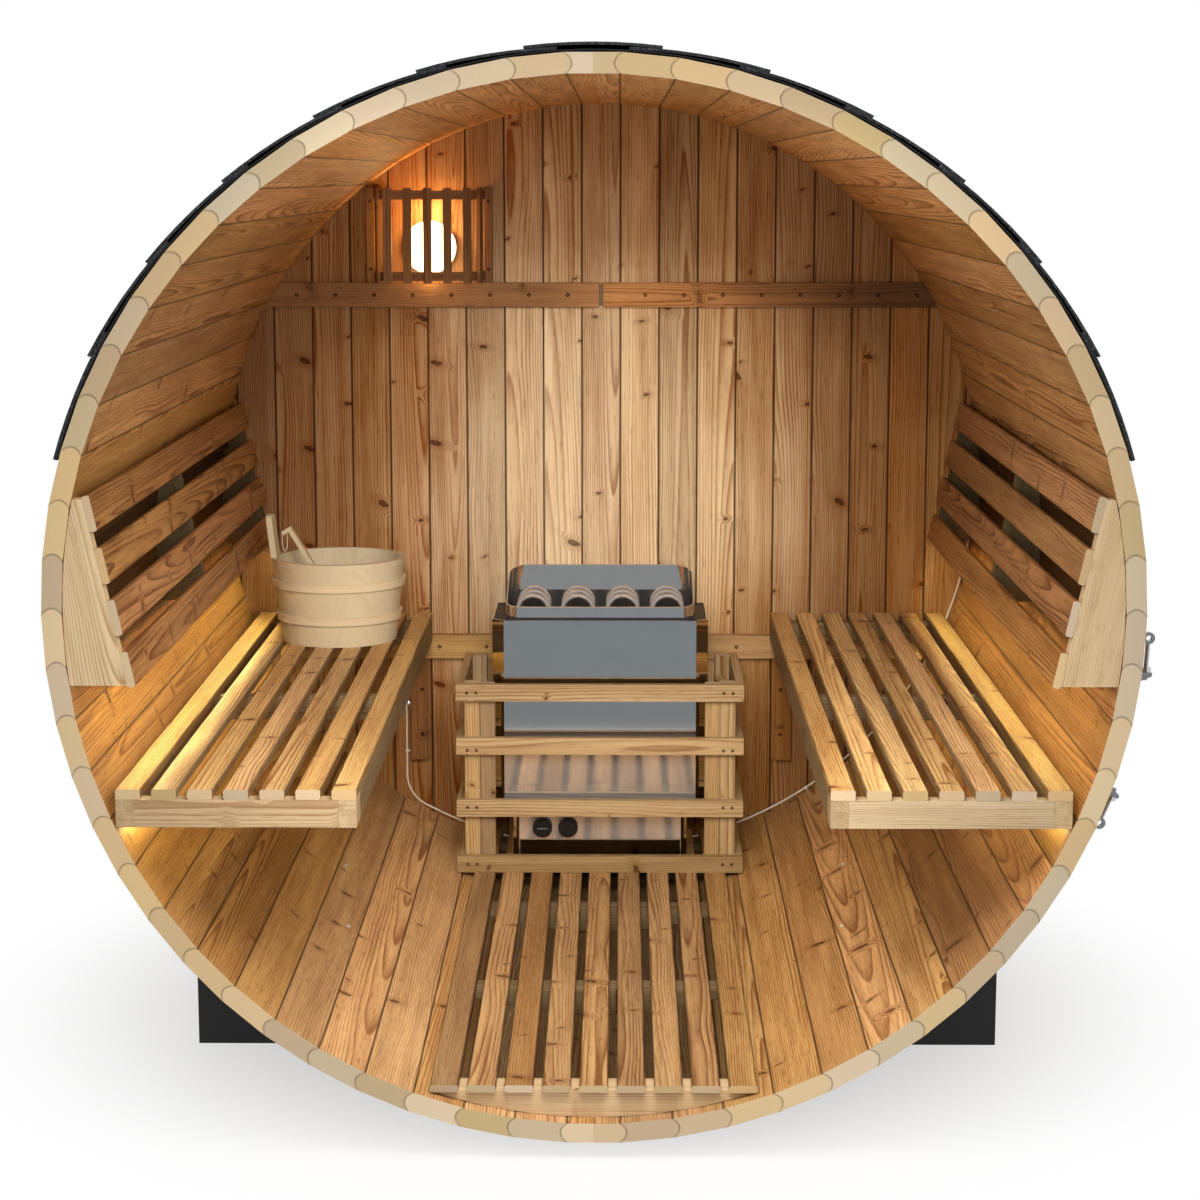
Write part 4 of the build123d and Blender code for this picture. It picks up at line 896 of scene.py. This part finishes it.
def pale_mark(name, body, spots, half_length, half_width, turn):
    """Printed mark of a knob or its panel: at each spot, a thin bar with eased ends facing the open front."""
    mesh = bmesh.new()
    along = Vector((cos(turn), 0, sin(turn)))
    aside = Vector((-sin(turn), 0, cos(turn)))
    ease = half_width * 0.6
    outline = []
    for end, side in ((1, 1), (-1, 1), (-1, -1), (1, -1)):
        corners = [(half_length, half_width - ease), (half_length - ease, half_width)]
        if end * side < 0:
            corners.reverse()
        outline += [along * end * length + aside * side * width for length, width in corners]
    for spot in spots:
        layers = []
        for out, share in ((0.0, 1.0), (0.0002, 1.0), (0.0004, 0.86)):
            base = Vector(spot) + Vector((0, -out, 0))
            layers.append([mesh.verts.new(base + point * share) for point in outline])
        for first, second in zip(layers, layers[1:]):
            for corner in range(len(outline)):
                after = (corner + 1) % len(outline)
                mesh.faces.new((first[corner], first[after], second[after], second[corner]))
        mesh.faces.new(layers[-1])
        mesh.faces.new(list(reversed(layers[0])))
    bmesh.ops.recalc_face_normals(mesh, faces=mesh.faces)
    return fitting(name, mesh, mark_grey, body)


knob_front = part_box("timer_knob")[0].y
timer_middle = middle("timer_knob")
thermostat_middle = middle("thermostat_knob")
bar_tip = 0.0115
bar_turn = radians(45)
tip_place = thermostat_middle + Vector((cos(bar_turn), 0, sin(bar_turn))) * bar_tip
timer_spot = (timer_middle.x, knob_front, timer_middle.z)
thermostat_spot = (tip_place.x, knob_front, tip_place.z)
pale_mark("timer_mark", "timer_knob", [timer_spot], bar_tip, 0.0014, 0.0)
pale_mark("thermostat_mark", "thermostat_knob", [thermostat_spot], 0.0015, 0.0009, bar_turn)
panel_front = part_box("heater_control_box")[0].y
mark_drop = 0.0245
pale_mark(
    "panel_marks",
    "sauna",
    [(spot.x, panel_front, spot.z - mark_drop) for spot in (timer_middle, thermostat_middle)],
    0.0020,
    0.0010,
    radians(90),
)


def cable_clips(name, places):
    """Nailed saddles over the lead on the back wall, each at a point of it and along its run."""
    mesh = bmesh.new()
    inner, outer, half_width, arc_steps = 0.0022, 0.0034, 0.0025, 8
    nail_aside = 0.0052
    nail_rings = ((0.0022, -0.0018), (0.0024, 0.0008), (0.0012, 0.0016))
    for place, along in places:
        along = Vector(along).normalized()
        out = Vector((0, -1, 0))
        aside = along.cross(out)
        sections = []
        for step in range(arc_steps + 1):
            turn = pi * step / arc_steps
            spoke = aside * cos(turn) + out * sin(turn)
            corners = ((inner, -1), (outer, -1), (outer, 1), (inner, 1))
            points = [spoke * radius + along * way * half_width for radius, way in corners]
            sections.append([mesh.verts.new(Vector(place) + point) for point in points])
        for first, second in zip(sections, sections[1:]):
            for corner in range(4):
                after = (corner + 1) % 4
                mesh.faces.new((first[corner], first[after], second[after], second[corner]))
        mesh.faces.new(list(reversed(sections[0])))
        mesh.faces.new(sections[-1])
        nail = Matrix.Translation(Vector(place) + aside * nail_aside)
        turn = out.to_track_quat("Z", "Y").to_matrix().to_4x4()
        add_rings(mesh, nail @ turn, nail_rings, 8)
    bmesh.ops.recalc_face_normals(mesh, faces=mesh.faces)
    return fitting(name, mesh, white_plastic)


cable_plane = wall_face - 0.0023
cable_run = 0.858
cable_drop = (-0.455, cable_plane, 0.306)
clip_places = [(cable_drop, (0, 0, 1))]
for degrees_from_bottom in (-16, 8, 34, 62):
    turn = radians(degrees_from_bottom)
    spot = (cable_run * sin(turn), cable_plane, axis_rise - cable_run * cos(turn))
    clip_places.append((spot, (cos(turn), 0, sin(turn))))
cable_clips("cable_clips", clip_places)

# Hanging loop of the ladle, down from its handle and back up to it
loop_route = [
    (-0.6918, 0.485, 0.8725),
    (-0.6918, 0.485, 0.8305),
    (-0.6798, 0.485, 0.8305),
    (-0.6795, 0.485, 0.8661),
]
loop_data = bpy.data.curves.new("ladle_cord", "CURVE")
loop_data.dimensions = "3D"
loop_spline = loop_data.splines.new("NURBS")
loop_spline.points.add(len(loop_route) - 1)
for point, place in zip(loop_spline.points, loop_route):
    point.co = (*place, 1.0)
loop_spline.order_u = 3
loop_spline.use_endpoint_u = True
loop_data.bevel_depth = 0.0008
loop_data.bevel_resolution = 3
loop_data.materials.append(cord_white)
ladle_cord = bpy.data.objects.new("ladle_cord", loop_data)
scene.collection.objects.link(ladle_cord)
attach(ladle_cord, "sauna")
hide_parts("ladle_loop")

# Floor that fades to the white backdrop away from the barrel
floor_mesh = bpy.data.meshes.new("studio_floor")
floor_mesh.from_pydata([(-30, -30, 0), (30, -30, 0), (30, 30, 0), (-30, 30, 0)], [], [(0, 1, 2, 3)])
floor = bpy.data.objects.new("studio_floor", floor_mesh)
scene.collection.objects.link(floor)
g = Graph("studio_floor")
x, y, _ = g.point()
mottle = g.noise(g.scaled(3.0))
g.put(g.shader.inputs["Base Color"], g.mix(mottle, (0.82, 0.82, 0.82), (0.84, 0.84, 0.84)))
g.shader.inputs["Roughness"].default_value = 0.9
white = g.node("ShaderNodeEmission")
white.inputs["Color"].default_value = (1.0, 1.0, 1.0, 1.0)
white.inputs["Strength"].default_value = 1.0
paths = g.node("ShaderNodeLightPath")
seen = g.math("MAXIMUM", paths.outputs["Is Camera Ray"], paths.outputs["Is Glossy Ray"])
seen = g.math("MAXIMUM", seen, paths.outputs["Is Transmission Ray"])
distance = g.math("SQRT", g.add(g.times(x, x), g.times(y, y)))
blend = g.node("ShaderNodeMixShader")
g.put(blend.inputs[0], g.times(seen, g.fit(distance, 0.55, 1.35, 0.55, 1.0)))
g.tree.links.new(g.shader.outputs[0], blend.inputs[1])
g.tree.links.new(white.outputs[0], blend.inputs[2])
g.tree.links.new(blend.outputs[0], g.output.inputs[0])
floor_mesh.materials.append(g.material)

# World: even light on the object, and white to the camera and in reflections
world = bpy.data.worlds.new("studio")
scene.world = world
world.use_nodes = True
tree = world.node_tree
tree.nodes.clear()
paths = tree.nodes.new("ShaderNodeLightPath")
either = tree.nodes.new("ShaderNodeMath")
either.operation = "MAXIMUM"
also = tree.nodes.new("ShaderNodeMath")
also.operation = "MAXIMUM"
tree.links.new(paths.outputs["Is Camera Ray"], either.inputs[0])
tree.links.new(paths.outputs["Is Glossy Ray"], either.inputs[1])
tree.links.new(either.outputs[0], also.inputs[0])
tree.links.new(paths.outputs["Is Transmission Ray"], also.inputs[1])
ambient = tree.nodes.new("ShaderNodeBackground")
ambient.inputs["Color"].default_value = (1.0, 0.99, 0.97, 1.0)
ambient.inputs["Strength"].default_value = 0.37
backdrop = tree.nodes.new("ShaderNodeBackground")
backdrop.inputs["Color"].default_value = (1.0, 1.0, 1.0, 1.0)
backdrop.inputs["Strength"].default_value = 1.0
choose = tree.nodes.new("ShaderNodeMixShader")
world_output = tree.nodes.new("ShaderNodeOutputWorld")
tree.links.new(also.outputs[0], choose.inputs[0])
tree.links.new(ambient.outputs[0], choose.inputs[1])
tree.links.new(backdrop.outputs[0], choose.inputs[2])
tree.links.new(choose.outputs[0], world_output.inputs[0])


def aimed_light(name, kind, place, aim, power):
    """Studio lamp that points at a place and doesn't show in the steel."""
    data = bpy.data.lights.new(name, kind)
    data.energy = power
    lamp = bpy.data.objects.new(name, data)
    scene.collection.objects.link(lamp)
    lamp.location = place
    lamp.rotation_euler = (Vector(aim) - Vector(place)).to_track_quat("-Z", "Y").to_euler()
    lamp.visible_glossy = False
    lamp.visible_camera = False
    return data


front_box = aimed_light("front_softbox", "AREA", (0.4, -4.2, 3.4), (0.0, 0.2, 0.7), 66.0)
front_box.size = 2.6
top_box = aimed_light("top_softbox", "AREA", (0.0, 0.0, 4.6), (0.0, 0.0, 0.9), 90.0)
top_box.size = 3.5
key = aimed_light("key_spot", "SPOT", (0.0, -7.5, 2.9), (0.03, wall_face, 0.88), 1380.0)
key.color = (0.97, 1.0, 1.0)
key.spot_size = radians(12.2)
key.spot_blend = 1.0
key.shadow_soft_size = 0.45
inner_box = aimed_light("inner_softbox", "AREA", (0.0, -1.35, 1.42), (0.0, 0.0, 0.35), 12.5)
inner_box.size = 0.7
inner_box.spread = radians(130)
inner_box.color = (1.0, 0.95, 0.86)
globe = middle("lamp_globe")
bulb_reach = 0.074
for rise, power in ((-bulb_reach, 0.05), (bulb_reach, 0.75)):
    bulb = aimed_light("lamp_bulb", "POINT", globe + Vector((0, 0, rise)), (0, 0, 0), power)
    bulb.color = (1.0, 0.62, 0.26)
    bulb.shadow_soft_size = 0.012

# Grey cards before the barrel, one flat and one upright, which only the polished heater shows
card_mesh = bpy.data.meshes.new("grey_cards")
card_edge = [(-4, -1.5, 0.004), (-4, -6, 0.004), (-4, -6.1, 0.1), (-4, -6.1, 6.0)]
card_points = card_edge + [(-x, y, z) for x, y, z in card_edge]
card_mesh.from_pydata(card_points, [], [(n, n + 1, n + 5, n + 4) for n in range(3)])
cards = bpy.data.objects.new("grey_cards", card_mesh)
scene.collection.objects.link(cards)
g = Graph("grey_cards")
_, _, z = g.point()
mottle = g.noise(g.scaled(1.0))
flat = g.mix(mottle, (0.235, 0.26, 0.272), (0.25, 0.276, 0.288))
upright = g.mix(mottle, (0.46, 0.48, 0.49), (0.50, 0.52, 0.53))
g.put(g.shader.inputs["Base Color"], g.mix(g.fit(z, 0.05, 0.4), flat, upright))
g.shader.inputs["Roughness"].default_value = 0.9
card_mesh.materials.append(g.material)
cards.visible_camera = False
cards.visible_diffuse = False
cards.visible_shadow = False

camera_data = bpy.data.cameras.new("camera")
camera_data.lens = 78.0
camera_data.sensor_width = 36.0
camera = bpy.data.objects.new("camera", camera_data)
scene.collection.objects.link(camera)
camera.location = (0.043, -5.115, 1.640)
camera.rotation_euler = (radians(90 - 9.30), 0.0, radians(0.44))
scene.camera = camera

scene.view_settings.view_transform = "Standard"
scene.cycles.max_bounces = 4
scene.cycles.diffuse_bounces = 2
scene.cycles.glossy_bounces = 3
